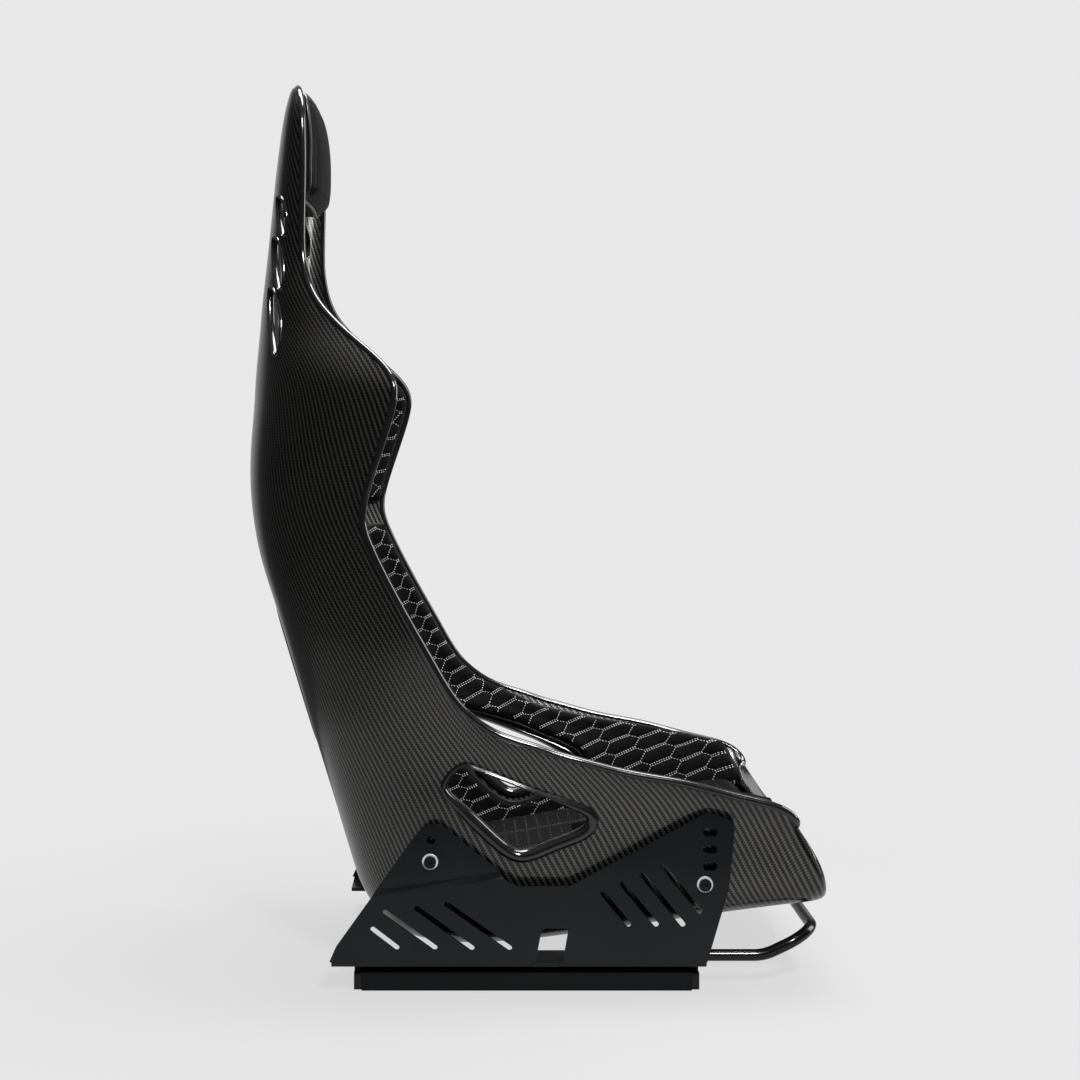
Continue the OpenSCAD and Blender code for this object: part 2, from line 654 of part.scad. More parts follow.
module travel_stops() {
    color([0.5, 0.5, 0.52]) both_sides() stop_blocks(stop_x - 8 - travel - 0.5,
        foot_z - 3.6, foot_z);
}

module rail_end_caps() {
    color([0.03, 0.03, 0.03]) both_sides() {
        along_rail(rail_x[0] - 8, rail_x[0]) lower_profile(1);
        along_rail(rail_x[1], rail_x[1] + 8) lower_profile(1);
    }
}

module ball_cage() {
    color([0.65, 0.55, 0.3]) difference() {
        along_rail(rail_mid_x - cage_length / 2, rail_mid_x + cage_length / 2)
            for (s = [-1, 1]) polygon([[s * 14.8, ball_rows_z[0] - 0.4],
                [s * 20.6, ball_rows_z[0] - 0.4], [s * 20.6, ball_rows_z[1] + 0.4],
                [s * 14.8, ball_rows_z[1] + 0.4], [s * 14.8, ball_rows_z[1] - 0.4],
                [s * 19.8, ball_rows_z[1] - 0.4], [s * 19.8, ball_rows_z[0] + 0.4],
                [s * 14.8, ball_rows_z[0] + 0.4]]);
        ball_places() cylinder(d = ball_d + 0.3, h = 3, center = true, $fn = 24);
    }
}

module ball_places() {
    for (k = [-1.5:1.5], s = [-1, 1], z = ball_rows_z)
        translate([rail_mid_x + k * ball_pitch, rail_y + s * ball_y, z]) children();
}

module rail_balls() {
    color([0.85, 0.85, 0.87]) ball_places() sphere(d = ball_d, $fn = 24);
}

module ball_cage_left() on_left() ball_cage();
module ball_cage_right() on_right() ball_cage();
module rail_balls_left() on_left() rail_balls();
module rail_balls_right() on_right() rail_balls();

// Latch and release bar -------------------------------------------------------------------

module latch_pawl() {
    outline = fillet([[5.5, 17], [5.5, 10.5], [7, 3.5], [12.5, 3.5], [14, 10.5],
        [pawl_pivot[0], 9.5], [86, 13], [86, 17], [50, 17.2], [pawl_pivot[0], 21.5], [30, 18]],
        [2, 0, 1, 1, 2, 5, 1, 1, 3, 6, 3]);
    color([0.6, 0.6, 0.62]) difference() {
        upright(rail_y + pawl_w / 2, pawl_w) polygon(outline);
        pin_y(pawl_pivot, pin_d + 0.1, rail_y - 20, rail_y + 20);
    }
}

module latch_pawl_left() on_left() latch_pawl();
module latch_pawl_right() on_right() latch_pawl();

module pawl_pins() {
    color([0.75, 0.75, 0.77]) both_sides()
        pin_y(pawl_pivot, pin_d, rail_y - leg_y - rail_t, rail_y + leg_y + rail_t);
}

// Coils of a torsion spring round a pin, side by side along Y
module coils(at, r, wire, y0, turns) {
    for (k = [0:turns - 1]) translate([at[0], y0 + wire * (k + 0.5), at[1]])
        rotate([90, 0, 0]) rotate_extrude($fn = 32) translate([r, 0])
            circle(d = wire * 1.02, $fn = 16);
}

module pawl_springs() {
    color([0.7, 0.7, 0.72]) both_sides()
        coils(pawl_pivot, 3.3, 1, rail_y + pawl_w / 2 + 0.4, 2);
}

module bar_hinge_ears() {
    ear = fillet([[155, flange_z], [155, 38], [164, 47], [173, 38], [173, flange_z]],
        [0, 6, 8, 6, 0]);
    color([0.05, 0.05, 0.055]) both_sides() difference() {
        union() {
            for (s = [-1, 1]) upright(rail_y + s * 5 + 1.5, 3) polygon(ear);
            translate([152, rail_y - 9, flange_z]) cube([22, 18, 1.6]);
        }
        pin_y(bar_pivot, 6.1, rail_y - 20, rail_y + 20);
        translate([152, rail_y - 3.5, flange_z + 1.6]) cube([30, 7, 20]);
    }
}

module bar_pins() {
    color([0.75, 0.75, 0.77]) both_sides() pin_y(bar_pivot, 6, rail_y - 10, rail_y + 10);
}

module bar_springs() {
    color([0.7, 0.7, 0.72]) both_sides() coils(bar_pivot, 3.9, 1.2, rail_y + 6.7, 2);
}

module bar_lever() {
    outline = fillet([[83, 17.4], [88, 17.4], [90, 31.5], [174.5, 31.5], [176.5, 27],
        [178, 27], [178, 37], [170, 44], [158, 43], [150, 38.5], [83, 38.5]],
        [1, 1, 3, 1, 0, 0, 0, 4, 4, 4, 3]);
    color([0.05, 0.05, 0.055]) difference() {
        upright(rail_y + 2.5, 5) polygon(outline);
        pin_y(bar_pivot, 6.1, rail_y - 20, rail_y + 20);
    }
}

module bar_lever_left() on_left() bar_lever();
module bar_lever_right() on_right() bar_lever();

// Round bar of 12 sides along a route
module bar_along(route, d) {
    n = len(route);
    sides = 12;
    frames = [for (i = [0:n - 1]) let(along = route[min(i + 1, n - 1)] - route[max(i - 1, 0)],
        c = cross(along, [0, 0, 1]), across = c / norm(c), u = cross(across, along))
        [route[i], across, u / norm(u)]];
    points = [for (f = frames, k = [0:sides - 1])
        f[0] + (f[1] * cos(360 * k / sides) + f[2] * sin(360 * k / sides)) * d / 2];
    walls = [for (i = [0:n - 2], k = [0:sides - 1]) let(a = i * sides, b = a + sides,
        l = (k + 1) % sides) each [[a + k, b + k, b + l], [a + k, b + l, a + l]]];
    last = (n - 1) * sides;
    polyhedron(points, concat(walls, [[for (k = [0:sides - 1]) k]],
        [[for (k = [sides - 1:-1:0]) last + k]]));
}

module release_bar() {
    half = [[178, rail_y, 32], [248, rail_y, 32], [bar_x, rail_y, bar_z]];
    route = fillet(concat(half, [for (k = [2:-1:0]) [half[k][0], -half[k][1], half[k][2]]]),
        [0, 50, bar_bend_r, bar_bend_r, 50, 0]);
    color([0.02, 0.02, 0.02]) bar_along(route, bar_d);
}

shell();
lap_bezel_left();
lap_bezel_right();
harness_bezels_left();
harness_bezels_right();
back_vent_bezel();
strap_slot_bezel();
mount_inserts();
head_pad();
shoulder_pad();
back_pad();
bolster_pad_left();
bolster_pad_right();
seat_cushion();
hook_patches();
side_bracket_left();
side_bracket_right();
side_spacers();
side_washers();
side_bolts();
flange_screws();
flange_nuts();
upper_rail_left();
upper_rail_right();
lower_rail_left();
lower_rail_right();
rail_end_stops();
travel_stops();
rail_end_caps();
ball_cage_left();
ball_cage_right();
rail_balls_left();
rail_balls_right();
latch_pawl_left();
latch_pawl_right();
pawl_pins();
pawl_springs();
bar_hinge_ears();
bar_pins();
bar_springs();
bar_lever_left();
bar_lever_right();
release_bar();
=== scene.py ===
import math

import bpy
import numpy as np
from mathutils import Matrix, Vector


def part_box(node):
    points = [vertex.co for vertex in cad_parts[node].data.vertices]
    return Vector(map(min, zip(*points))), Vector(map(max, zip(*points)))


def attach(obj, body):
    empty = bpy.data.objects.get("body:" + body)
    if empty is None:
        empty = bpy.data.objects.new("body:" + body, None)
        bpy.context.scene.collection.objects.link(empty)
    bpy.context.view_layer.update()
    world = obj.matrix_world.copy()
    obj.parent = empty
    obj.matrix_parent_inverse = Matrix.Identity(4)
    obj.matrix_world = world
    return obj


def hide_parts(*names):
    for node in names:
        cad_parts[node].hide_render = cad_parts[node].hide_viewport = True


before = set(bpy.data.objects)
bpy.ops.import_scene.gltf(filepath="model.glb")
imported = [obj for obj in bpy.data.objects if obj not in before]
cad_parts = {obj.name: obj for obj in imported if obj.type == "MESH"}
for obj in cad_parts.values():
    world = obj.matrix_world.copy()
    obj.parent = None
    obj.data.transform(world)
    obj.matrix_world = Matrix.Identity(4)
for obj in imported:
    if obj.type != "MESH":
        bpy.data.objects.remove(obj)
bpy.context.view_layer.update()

# The looks of a racing seat. Lengths are in metres: +X is forward, +Y the sitter's left, +Z up.
SEAT = "seat"
MM = 0.001

# Shell ----------
# Stations from the top of the head, down the back and along the base to the front lip:
# back x, back z, rim x, rim z, half width at the rim, flare (mm), squareness
STATIONS = np.array([
    [-266, 981, -262, 979, 60, 2, 2.4], [-270, 975, -257, 974, 104, 3, 2.4],
    [-274, 962, -253, 961, 131, 6, 2.4], [-280, 936, -250, 935, 147, 8, 2.4],
    [-288, 880, -249, 880, 152, 12, 2.4], [-294, 825, -250, 822, 152, 14, 2.4],
    [-299, 780, -249, 783, 154, 16, 2.4], [-304, 738, -238, 742, 170, 20, 2.4],
    [-307, 704, -208, 706, 196, 24, 2.4], [-310, 672, -164, 668, 234, 28, 2.4],
    [-312, 645, -146, 643, 251, 30, 2.4], [-313, 618, -148, 617, 253, 30, 2.5],
    [-316, 575, -162, 572, 248, 28, 2.6], [-316, 535, -175, 532, 241, 26, 2.7],
    [-312, 495, -181, 500, 235, 24, 2.8], [-303, 450, -172, 470, 232, 22, 2.9],
    [-286, 396, -146, 418, 231, 22, 3.0], [-263, 320, -113, 359, 233, 28, 3.1],
    [-243, 256, -82, 307, 232, 30, 3.4], [-222, 190, -46, 278, 232, 32, 3.7],
    [-204, 132, -17, 267, 233, 33, 4.0], [-186, 82, 4, 261, 233, 33, 4.2],
    [-150, 43, 22, 254, 233, 33, 4.6], [-95, 30, 48, 247, 233, 33, 5],
    [-20, 34, 80, 238, 232, 32, 5.6], [60, 46, 112, 231, 231, 31, 6.2],
    [140, 59, 152, 224, 229, 29, 6.8], [215, 71, 194, 213, 226, 26, 7.2],
    [275, 80, 226, 205, 226, 24, 7.5], [306, 85, 244, 201, 226, 20, 7.5],
    [316, 93, 254, 198, 226, 15, 7.5], [315, 112, 263, 194, 224, 14, 7],
    [304, 137, 271, 187, 221, 12, 5.5], [286, 156, 276, 180, 216, 10, 4.2],
    [268, 166, 276, 175, 206, 8, 3.4]]) * ([MM] * 6 + [1])
LAST = len(STATIONS) - 1
SHELL_T = 4 * MM

# Side view, x and z in mm: the harness slots of one head wing and the lap-belt opening
HARNESS_SLOTS = [
    [(-279, 851), (-272, 846), (-267, 828), (-268, 808), (-273, 807), (-278, 828)],
    [(-284, 806), (-276, 800), (-270, 774), (-271, 751), (-277, 748), (-283, 776)],
    [(-288, 750), (-279, 742), (-272, 712), (-274, 682), (-280, 677), (-287, 712)]]
LAP_OPENING = [(-94, 212), (-88, 230), (-74, 240), (-56, 236), (-8, 218), (38, 200), (61, 187),
               (56, 169), (20, 153), (-2, 144), (-18, 143), (-36, 154), (-72, 188)]
VENT_HALF = (0.062, 0.081)
VENT_MIDDLE = 0.317
VENT_R = 0.030
STRAP_HALF = (0.013, 0.036)
STRAP_X = 0.062
STRAP_R = 0.010
SIDE_BOLTS = [(0.180, 0.116), (-0.1091, 0.1382)]
BOLT_HOLE_R = 0.006


def spline(points, t, closed=False):
    """Catmull-Rom through points at the parameters t, counted in points."""
    points = np.asarray(points, float)
    t = np.asarray(t, float)
    n = len(points)
    i = np.floor(t).astype(int)
    if not closed:
        i = np.clip(i, 0, n - 2)
    f = (t - i).reshape(t.shape + (1,) * (points.ndim - 1))
    pick = (lambda k: points[k % n]) if closed else (lambda k: points[np.clip(k, 0, n - 1)])
    a, b, c, d = (pick(i + k) for k in (-1, 0, 1, 2))
    return 0.5 * (2 * b + (c - a) * f + (2 * a - 5 * b + 4 * c - d) * f**2
                  + (3 * b - a - 3 * c + d) * f**3)


def station(t):
    """The station at t, smoothed a little so that reflections run evenly."""
    steps = ((-0.3, 0.1), (-0.15, 0.2), (0, 0.4), (0.15, 0.2), (0.3, 0.1))
    return sum(w * spline(STATIONS, np.clip(t + d, 0, LAST)) for d, w in steps)


def unit(v):
    return v / np.maximum(np.linalg.norm(v, axis=-1, keepdims=True), 1e-12)


def smoothstep(x, low, high):
    w = np.clip((x - low) / (high - low), 0, 1)
    return w * w * (3 - 2 * w)


def skin(t, v):
    """Outer face of the shell: t along the stations, v from -1 (right rim) to 1 (left rim)."""
    t, v = np.broadcast_arrays(np.asarray(t, float), np.asarray(v, float))
    s = station(t)
    a = np.abs(v) * math.pi / 2
    n = s[..., 6]
    cos, sin = np.maximum(np.cos(a), 0), np.sin(a)
    k = (sin**n + cos**n) ** (1 / n)
    rise = 1 - cos / k
    out = (s[..., 4] - s[..., 5]) * sin / k
    out = out + s[..., 5] * rise ** np.minimum(5.2, 2.5 * n - 4.5)
    return np.stack([s[..., 0] + (s[..., 2] - s[..., 0]) * rise, np.sign(v) * out,
                     s[..., 1] + (s[..., 3] - s[..., 1]) * rise], -1)


def skin_normal(t, v):
    """Unit normal of the outer face, towards the sitter."""
    d = 0.01
    along = skin(np.minimum(t + d, LAST), v) - skin(np.maximum(t - d, 0), v)
    over = skin(t, np.minimum(v + d, 1)) - skin(t, np.maximum(v - d, -1))
    return unit(np.cross(along, over))


def inside(t, v, depth):
    """Places at a depth under the outer face, towards the sitter."""
    return skin(t, v) + skin_normal(t, v) * np.asarray(depth)[..., None]


def solve(wanted, function, guess, steps=12):
    """Parameters (n, 2) at which function gives the wanted pairs, by Newton's method."""
    p = np.array(guess, float)
    for _ in range(steps):
        f = function(p)
        h = 1e-4
        du = (function(p + [h, 0]) - f) / h
        dv = (function(p + [0, h]) - f) / h
        e = wanted - f
        det = du[:, 0] * dv[:, 1] - du[:, 1] * dv[:, 0]
        det = np.where(np.abs(det) < 1e-12, 1e-12, det)
        step = np.stack([e[:, 0] * dv[:, 1] - e[:, 1] * dv[:, 0],
                         du[:, 0] * e[:, 1] - du[:, 1] * e[:, 0]], 1) / det[:, None]
        p = p + np.clip(step, -0.5, 0.5) * [1, 0.3]
        p[:, 0] = np.clip(p[:, 0], 0, LAST)
        p[:, 1] = np.clip(p[:, 1], -0.999, 0.999)
    return p


def nearest(points, targets):
    """For each point, the index of the nearest target and how far it is."""
    index = np.empty(len(points), int)
    far = np.empty(len(points))
    for a in range(0, len(points), 4000):
        d = np.linalg.norm(points[a:a + 4000, None] - targets[None], axis=2)
        index[a:a + 4000] = d.argmin(1)
        far[a:a + 4000] = d.min(1)
    return index, far


def on_shell(outline, axes, t_range, v_range):
    """(t, v) of an outline given by two coordinates of the shell's outer face. The two ranges
    say where on the shell the search starts."""
    tt, vv = np.meshgrid(np.linspace(*t_range, 60), np.linspace(*v_range, 40), indexing="ij")
    grid = np.stack([tt.ravel(), vv.ravel()], 1)
    flat = skin(grid[:, 0], grid[:, 1])[:, axes]
    start, _ = nearest(outline, flat)
    return solve(outline, lambda p: skin(p[:, 0], p[:, 1])[:, axes], grid[start])


def smooth_outline(points, count):
    points = np.array(points, float) * MM
    return spline(points, np.linspace(0, len(points), count, endpoint=False), closed=True)


def rounded_box(middle, half, r):
    """Outline of a rectangle with rounded corners."""
    out = []
    for sx, sy, start in ((1, 1, 0), (-1, 1, 90), (-1, -1, 180), (1, -1, 270)):
        for angle in np.radians(np.linspace(start, start + 90, 14)):
            out.append((middle[0] + sx * (half[0] - r) + r * math.cos(angle),
                        middle[1] + sy * (half[1] - r) + r * math.sin(angle)))
    return evenly(np.array(out), 160)


def evenly(points, count):
    """A closed outline resampled to points at even distances."""
    loop = np.vstack([points, points[:1]])
    length = np.concatenate([[0], np.cumsum(np.linalg.norm(np.diff(loop, axis=0), axis=1))])
    s = np.linspace(0, length[-1], count, endpoint=False)
    return np.stack([np.interp(s, length, loop[:, k]) for k in range(loop.shape[1])], 1)


def contains(outline, points):
    """Which points (n, 2) lie inside the closed outline."""
    x, y = points[:, 0, None], points[:, 1, None]
    a, b = outline, np.roll(outline, -1, 0)
    crosses = (a[None, :, 1] > y) != (b[None, :, 1] > y)
    rise = np.where(b[:, 1] == a[:, 1], 1e-12, b[:, 1] - a[:, 1])
    at = (b[:, 0] - a[:, 0]) * (y - a[:, 1]) / rise + a[:, 0]
    return (crosses & (x < at)).sum(1) % 2 == 1


def mirrored(outline):
    return outline * [1, -1]


def ellipse(a, b, count):
    w = np.linspace(0, 2 * np.pi, count, endpoint=False)
    return np.stack([a * np.cos(w), b * np.sin(w)], 1)


lap_tv = on_shell(smooth_outline(LAP_OPENING, 220), [0, 2], (17, 28), (0.4, 0.98))
slots_tv = [on_shell(smooth_outline(s, 90), [0, 2], (2, 11), (0.2, 0.95)) for s in HARNESS_SLOTS]
vent_tv = on_shell(rounded_box((0, VENT_MIDDLE), VENT_HALF, VENT_R), [1, 2], (14, 20),
                   (-0.4, 0.4))
strap_tv = on_shell(rounded_box((STRAP_X, 0), STRAP_HALF, STRAP_R), [0, 1], (22, 27),
                    (-0.3, 0.3))
bolts_tv = [on_shell(np.array(b) + ellipse(BOLT_HOLE_R, BOLT_HOLE_R, 40), [0, 2], (18, 28),
                     (0.4, 0.9)) for b in SIDE_BOLTS]
one_side = [lap_tv, *slots_tv, *bolts_tv]
shell_holes = [vent_tv, strap_tv, *one_side, *[mirrored(h) for h in one_side]]


# Meshes ----------

def add_mesh(name, points, faces, material, body=SEAT, uv=None, sharp=40):
    """A smooth-shaded mesh object that rides on a body."""
    mesh = bpy.data.meshes.new(name)
    mesh.from_pydata(np.asarray(points, float).tolist(), [], [list(map(int, f)) for f in faces])
    mesh.materials.append(material)
    mesh.polygons.foreach_set("use_smooth", np.ones(len(mesh.polygons), bool))
    if uv is not None:
        layer = mesh.uv_layers.new(name="weave")
        corner = np.empty(len(mesh.loops), int)
        mesh.loops.foreach_get("vertex_index", corner)
        layer.data.foreach_set("uv", np.asarray(uv, float)[corner].astype(np.float32).ravel())
    mesh.update()
    if sharp:
        mesh.set_sharp_from_angle(angle=math.radians(sharp))
    piece = bpy.data.objects.new(name, mesh)
    bpy.context.scene.collection.objects.link(piece)
    if body:
        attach(piece, body)
    return piece


def between(outer, inner, keep=None):
    """Points and faces of the closed solid between two grids, without the cells left out."""
    rows, cols = outer.shape[:2]
    if keep is None:
        keep = np.ones((rows - 1, cols - 1), bool)
    i, j = np.nonzero(keep)
    a, b, c, d = i * cols + j, i * cols + j + 1, (i + 1) * cols + j + 1, (i + 1) * cols + j
    front = np.stack([a, b, c, d], 1)
    n = rows * cols
    starts = np.concatenate([a, b, c, d])
    ends = np.concatenate([b, c, d, a])
    open_edge = ~np.isin(ends * n + starts, starts * n + ends)
    s, e = starts[open_edge], ends[open_edge]
    walls = np.stack([e, s, s + n, e + n], 1)
    faces = np.vstack([front, front[:, ::-1] + n, walls])
    points = np.concatenate([outer.reshape(-1, 3), inner.reshape(-1, 3)])
    used = np.zeros(len(points), bool)
    used[faces.ravel()] = True
    renumber = np.cumsum(used) - 1
    return points[used], renumber[faces], used


def cut_openings(t, v, holes, surface):
    """Leaves out the cells inside the holes and moves the corners beside them onto the edges."""
    middle = np.stack([(t[:-1, :-1] + t[1:, 1:]) / 2, (v[:-1, :-1] + v[1:, 1:]) / 2], -1)
    keep = np.ones(middle.shape[:2], bool)
    owner = np.full(keep.shape, -1)
    for k, hole in enumerate(holes):
        within = contains(hole, middle.reshape(-1, 2)).reshape(keep.shape)
        keep &= ~within
        owner[within] = k
    t, v = t.copy(), v.copy()
    for k, hole in enumerate(holes):
        i, j = np.nonzero(owner == k)
        corners = {(a, b) for a, b in zip(np.concatenate([i, i + 1, i, i + 1]),
                                          np.concatenate([j, j, j + 1, j + 1]))}
        edge = [(a, b) for a, b in corners
                if keep[max(a - 1, 0):a + 1, max(b - 1, 0):b + 1].any()]
        a, b = np.array(edge).T
        here, _ = nearest(surface(t[a, b], v[a, b]), surface(hole[:, 0], hole[:, 1]))
        t[a, b], v[a, b] = hole[here, 0], hole[here, 1]
    return t, v, keep


def sweep(path, across, up, section, closed=True):
    """Points and faces of a section (m, 2) carried along a path, with its two directions."""
    n, m = len(path), len(section)
    points = (path[:, None] + across[:, None] * section[None, :, :1]
              + up[:, None] * section[None, :, 1:]).reshape(-1, 3)
    faces = []
    for i in range(n if closed else n - 1):
        a, b = i * m, ((i + 1) % n) * m
        faces += [(a + k, a + (k + 1) % m, b + (k + 1) % m, b + k) for k in range(m)]
    if not closed:
        faces += [tuple(range(m))[::-1], tuple(range((n - 1) * m, n * m))]
    return points, faces


def directions(path, up, closed=True):
    """Across and up directions square to the path, from rough up directions."""
    if closed:
        along = np.roll(path, -1, 0) - np.roll(path, 1, 0)
    else:
        along = np.gradient(path, axis=0)
    across = unit(np.cross(unit(along), up))
    return across, unit(np.cross(across, along))


def relaxed(path, rounds):
    """The closed path with its unevenness smoothed out."""
    for _ in range(rounds):
        path = 0.5 * path + 0.25 * (np.roll(path, 1, 0) + np.roll(path, -1, 0))
    return path


def tube(name, path, up, radii, material, count=10, wide=1.0):
    """A rounded bar along a closed path. It may vary in width along the path."""
    across, upward = directions(path, up)
    points, faces = sweep(path, across * np.reshape(wide, (-1, 1)), upward, ellipse(*radii, count))
    return add_mesh(name, points, faces, material, sharp=None)


# Materials ----------

class Nodes:
    """Short ways to add and link the nodes of one shader tree."""

    def __init__(self, tree):
        self.tree = tree

    def node(self, kind, **values):
        made = self.tree.nodes.new(kind)
        for key, value in values.items():
            setattr(made, key, value)
        return made

    def feed(self, socket, value):
        if hasattr(value, "is_output"):
            self.tree.links.new(value, socket)
        else:
            socket.default_value = value

    def math(self, operation, *values):
        made = self.node("ShaderNodeMath", operation=operation)
        for socket, value in zip(made.inputs, values):
            self.feed(socket, value)
        return made.outputs[0]

    def split(self, vector):
        """The three coordinates of a vector."""
        made = self.node("ShaderNodeSeparateXYZ")
        self.feed(made.inputs[0], vector)
        return made.outputs

    def ramp(self, value, low, high, a=0.0, b=1.0, kind="LINEAR"):
        """value from low..high mapped onto a..b."""
        made = self.node("ShaderNodeMapRange", interpolation_type=kind)
        self.feed(made.inputs["Value"], value)
        for key, number in zip(("From Min", "From Max", "To Min", "To Max"), (low, high, a, b)):
            made.inputs[key].default_value = number
        return made.outputs[0]

    def mix_shaders(self, factor, a, b, out):
        """Shader a where factor is 0 and b where it is 1, into the output node."""
        made = self.node("ShaderNodeMixShader")
        for socket, value in zip(made.inputs, (factor, a.outputs[0], b.outputs[0])):
            self.feed(socket, value)
        self.feed(out.inputs[0], made.outputs[0])

    def camera_sees(self):
        return self.node("ShaderNodeLightPath").outputs["Is Camera Ray"]


class Recipe(Nodes):
    """Builds a node material around one Principled shader."""

    def __init__(self, name, color=(0.02, 0.02, 0.02), **sockets):
        self.material = bpy.data.materials.new(name)
        self.material.use_nodes = True
        super().__init__(self.material.node_tree)
        self.shader = self.tree.nodes["Principled BSDF"]
        self.shader.inputs["Base Color"].default_value = (*color, 1)
        for key, value in sockets.items():
            self.shader.inputs[key.replace("_", " ")].default_value = value
        self.place = self.node("ShaderNodeTexCoord").outputs["Object"]

    def noise(self, scale, detail, at=None):
        made = self.node("ShaderNodeTexNoise")
        made.inputs["Scale"].default_value = scale
        made.inputs["Detail"].default_value = detail
        self.feed(made.inputs["Vector"], self.place if at is None else at)
        return made.outputs["Fac"]

    def stretched(self, scale):
        """The place on the object, scaled by three numbers."""
        made = self.node("ShaderNodeMapping")
        self.feed(made.inputs["Vector"], self.place)
        made.inputs["Scale"].default_value = scale
        return made.outputs[0]

    def mix(self, factor, a, b):
        made = self.node("ShaderNodeMix", data_type="RGBA")
        self.feed(made.inputs["Factor"], factor)
        for socket, value in ((made.inputs[6], a), (made.inputs[7], b)):
            self.feed(socket, (*value, 1) if isinstance(value, tuple) else value)
        return made.outputs[2]

    def color(self, value):
        self.feed(self.shader.inputs["Base Color"], value)

    def tint(self, factor, base, low, high):
        """Colours the shader from low to high times the base colour."""
        self.color(self.mix(factor, *(tuple(k * c for c in base) for k in (low, high))))

    def roughness(self, value):
        self.feed(self.shader.inputs["Roughness"], value)

    def bump(self, height, strength, distance):
        made = self.node("ShaderNodeBump")
        made.inputs["Strength"].default_value = strength
        made.inputs["Distance"].default_value = distance
        self.feed(made.inputs["Height"], height)
        self.feed(self.shader.inputs["Normal"], made.outputs[0])


TOW = 2.4 * MM
WEAVE_TILT = 17


def carbon_material():
    """Clear-coated 2x2 twill. The weave map counts in tows."""
    r = Recipe("carbon_twill", Metallic=0.9, Specular_IOR_Level=0.15, Coat_Weight=1.0,
               Coat_Roughness=0.02, Coat_IOR=1.5)
    u, v, _ = r.split(r.node("ShaderNodeUVMap", uv_map="weave").outputs[0])
    i, j = r.math("FLOOR", u), r.math("FLOOR", v)
    cell = r.math("FRACT", r.math("MULTIPLY", r.math("ADD", i, j), 0.25))
    warp = r.math("LESS_THAN", cell, 0.5)

    def crown(across, along):
        """Height of a tow: rounded across, and dipping where it goes under."""
        side = r.math("POWER", r.math("ABSOLUTE", r.math("MULTIPLY_ADD", r.math("FRACT", across),
                                                         2.0, -1.0)), 2.5)
        run = r.math("FRACT", r.math("MULTIPLY", along, 0.5))
        end = r.math("POWER", r.math("ABSOLUTE", r.math("MULTIPLY_ADD", run, 2.0, -1.0)), 4.0)
        return r.math("MULTIPLY", r.math("SUBTRACT", 1.0, side), r.math("SUBTRACT", 1.0, end))

    over = crown(u, r.math("ADD", v, i))
    under = crown(v, r.math("ADD", u, j))
    pick = r.node("ShaderNodeMix", data_type="FLOAT")
    for k, value in ((0, warp), (2, under), (3, over)):
        r.feed(pick.inputs[k], value)
    height = pick.outputs[0]
    streaks = r.noise(1.0, 4, r.stretched((1400, 1400, 1400)))
    # Painted sheen: the warp tows get a lighter, warm colour and the weft tows a near-black one.
    # This stands in for the fibres' directional reflection, and the warm tint is a painted
    # reflection of the floor.
    tone = r.mix(warp, (0.016, 0.016, 0.017), (0.215, 0.205, 0.190))
    # Painted shade: the tows go near black where they round off and dip under, in the grooves
    # between them.
    tone = r.mix(r.ramp(height, 0.0, 0.6), (0.006, 0.006, 0.0065), tone)
    tone = r.mix(r.ramp(streaks, 0.35, 0.7, 0.0, 0.35), tone, (0.030, 0.030, 0.030))
    r.color(tone)
    r.roughness(r.ramp(streaks, 0.3, 0.7, 0.28, 0.40))
    r.bump(height, 0.35, 0.0002)
    return r.material


def gloss_black():
    r = Recipe("gloss_black", (0.006, 0.006, 0.007), Coat_Weight=1.0, Coat_Roughness=0.02)
    cloud = r.noise(90, 4)
    r.color(r.mix(cloud, (0.005, 0.005, 0.006), (0.011, 0.011, 0.012)))
    r.roughness(r.ramp(cloud, 0.3, 0.7, 0.10, 0.18))
    r.bump(r.noise(45, 2), 0.04, 0.0004)
    return r.material


def suede():
    """Black microsuede: a fine nap with soft patches where it lies one way or the other."""
    r = Recipe("microsuede", (0.006, 0.006, 0.006), Sheen_Weight=0.02, Sheen_Roughness=0.5,
               Specular_IOR_Level=0.05)
    nap = r.noise(2600, 3)
    patches = r.noise(35, 3)
    r.color(r.mix(patches, (0.0030, 0.0030, 0.0032), (0.0065, 0.0065, 0.007)))
    r.roughness(r.ramp(nap, 0.3, 0.7, 0.85, 1.0))
    r.bump(nap, 0.35, 0.0003)
    return r.material


def thread(name, color):
    r = Recipe(name, color, Sheen_Weight=0.2)
    twist = r.noise(1800, 2)
    r.tint(twist, color, 0.85, 1)
    r.roughness(r.ramp(twist, 0.3, 0.7, 0.4, 0.6))
    r.bump(twist, 0.4, 0.0002)
    return r.material


def leather(name, base, rough, grain=420, depth=0.25, shine=0.25, coat=0.05):
    """Leather: a cell grain with fine pores, worn a little smoother on the high spots."""
    r = Recipe(name, base, Specular_IOR_Level=shine, Coat_Weight=coat, Coat_Roughness=0.25)
    cells = r.node("ShaderNodeTexVoronoi", feature="DISTANCE_TO_EDGE")
    cells.inputs["Scale"].default_value = grain
    r.feed(cells.inputs["Vector"], r.place)
    edge = r.ramp(cells.outputs[0], 0.0, 0.18)
    wear = r.noise(28, 4)
    r.tint(r.ramp(wear, 0.35, 0.7), base, 0.75, 1.3)
    r.roughness(r.math("ADD", r.ramp(wear, 0.3, 0.7, rough - 0.05, rough + 0.07),
                       r.ramp(edge, 0, 1, 0.12, 0.0)))
    r.bump(r.math("ADD", edge, r.math("MULTIPLY", r.noise(1500, 3), 0.3)), depth, 0.0003)
    return r.material


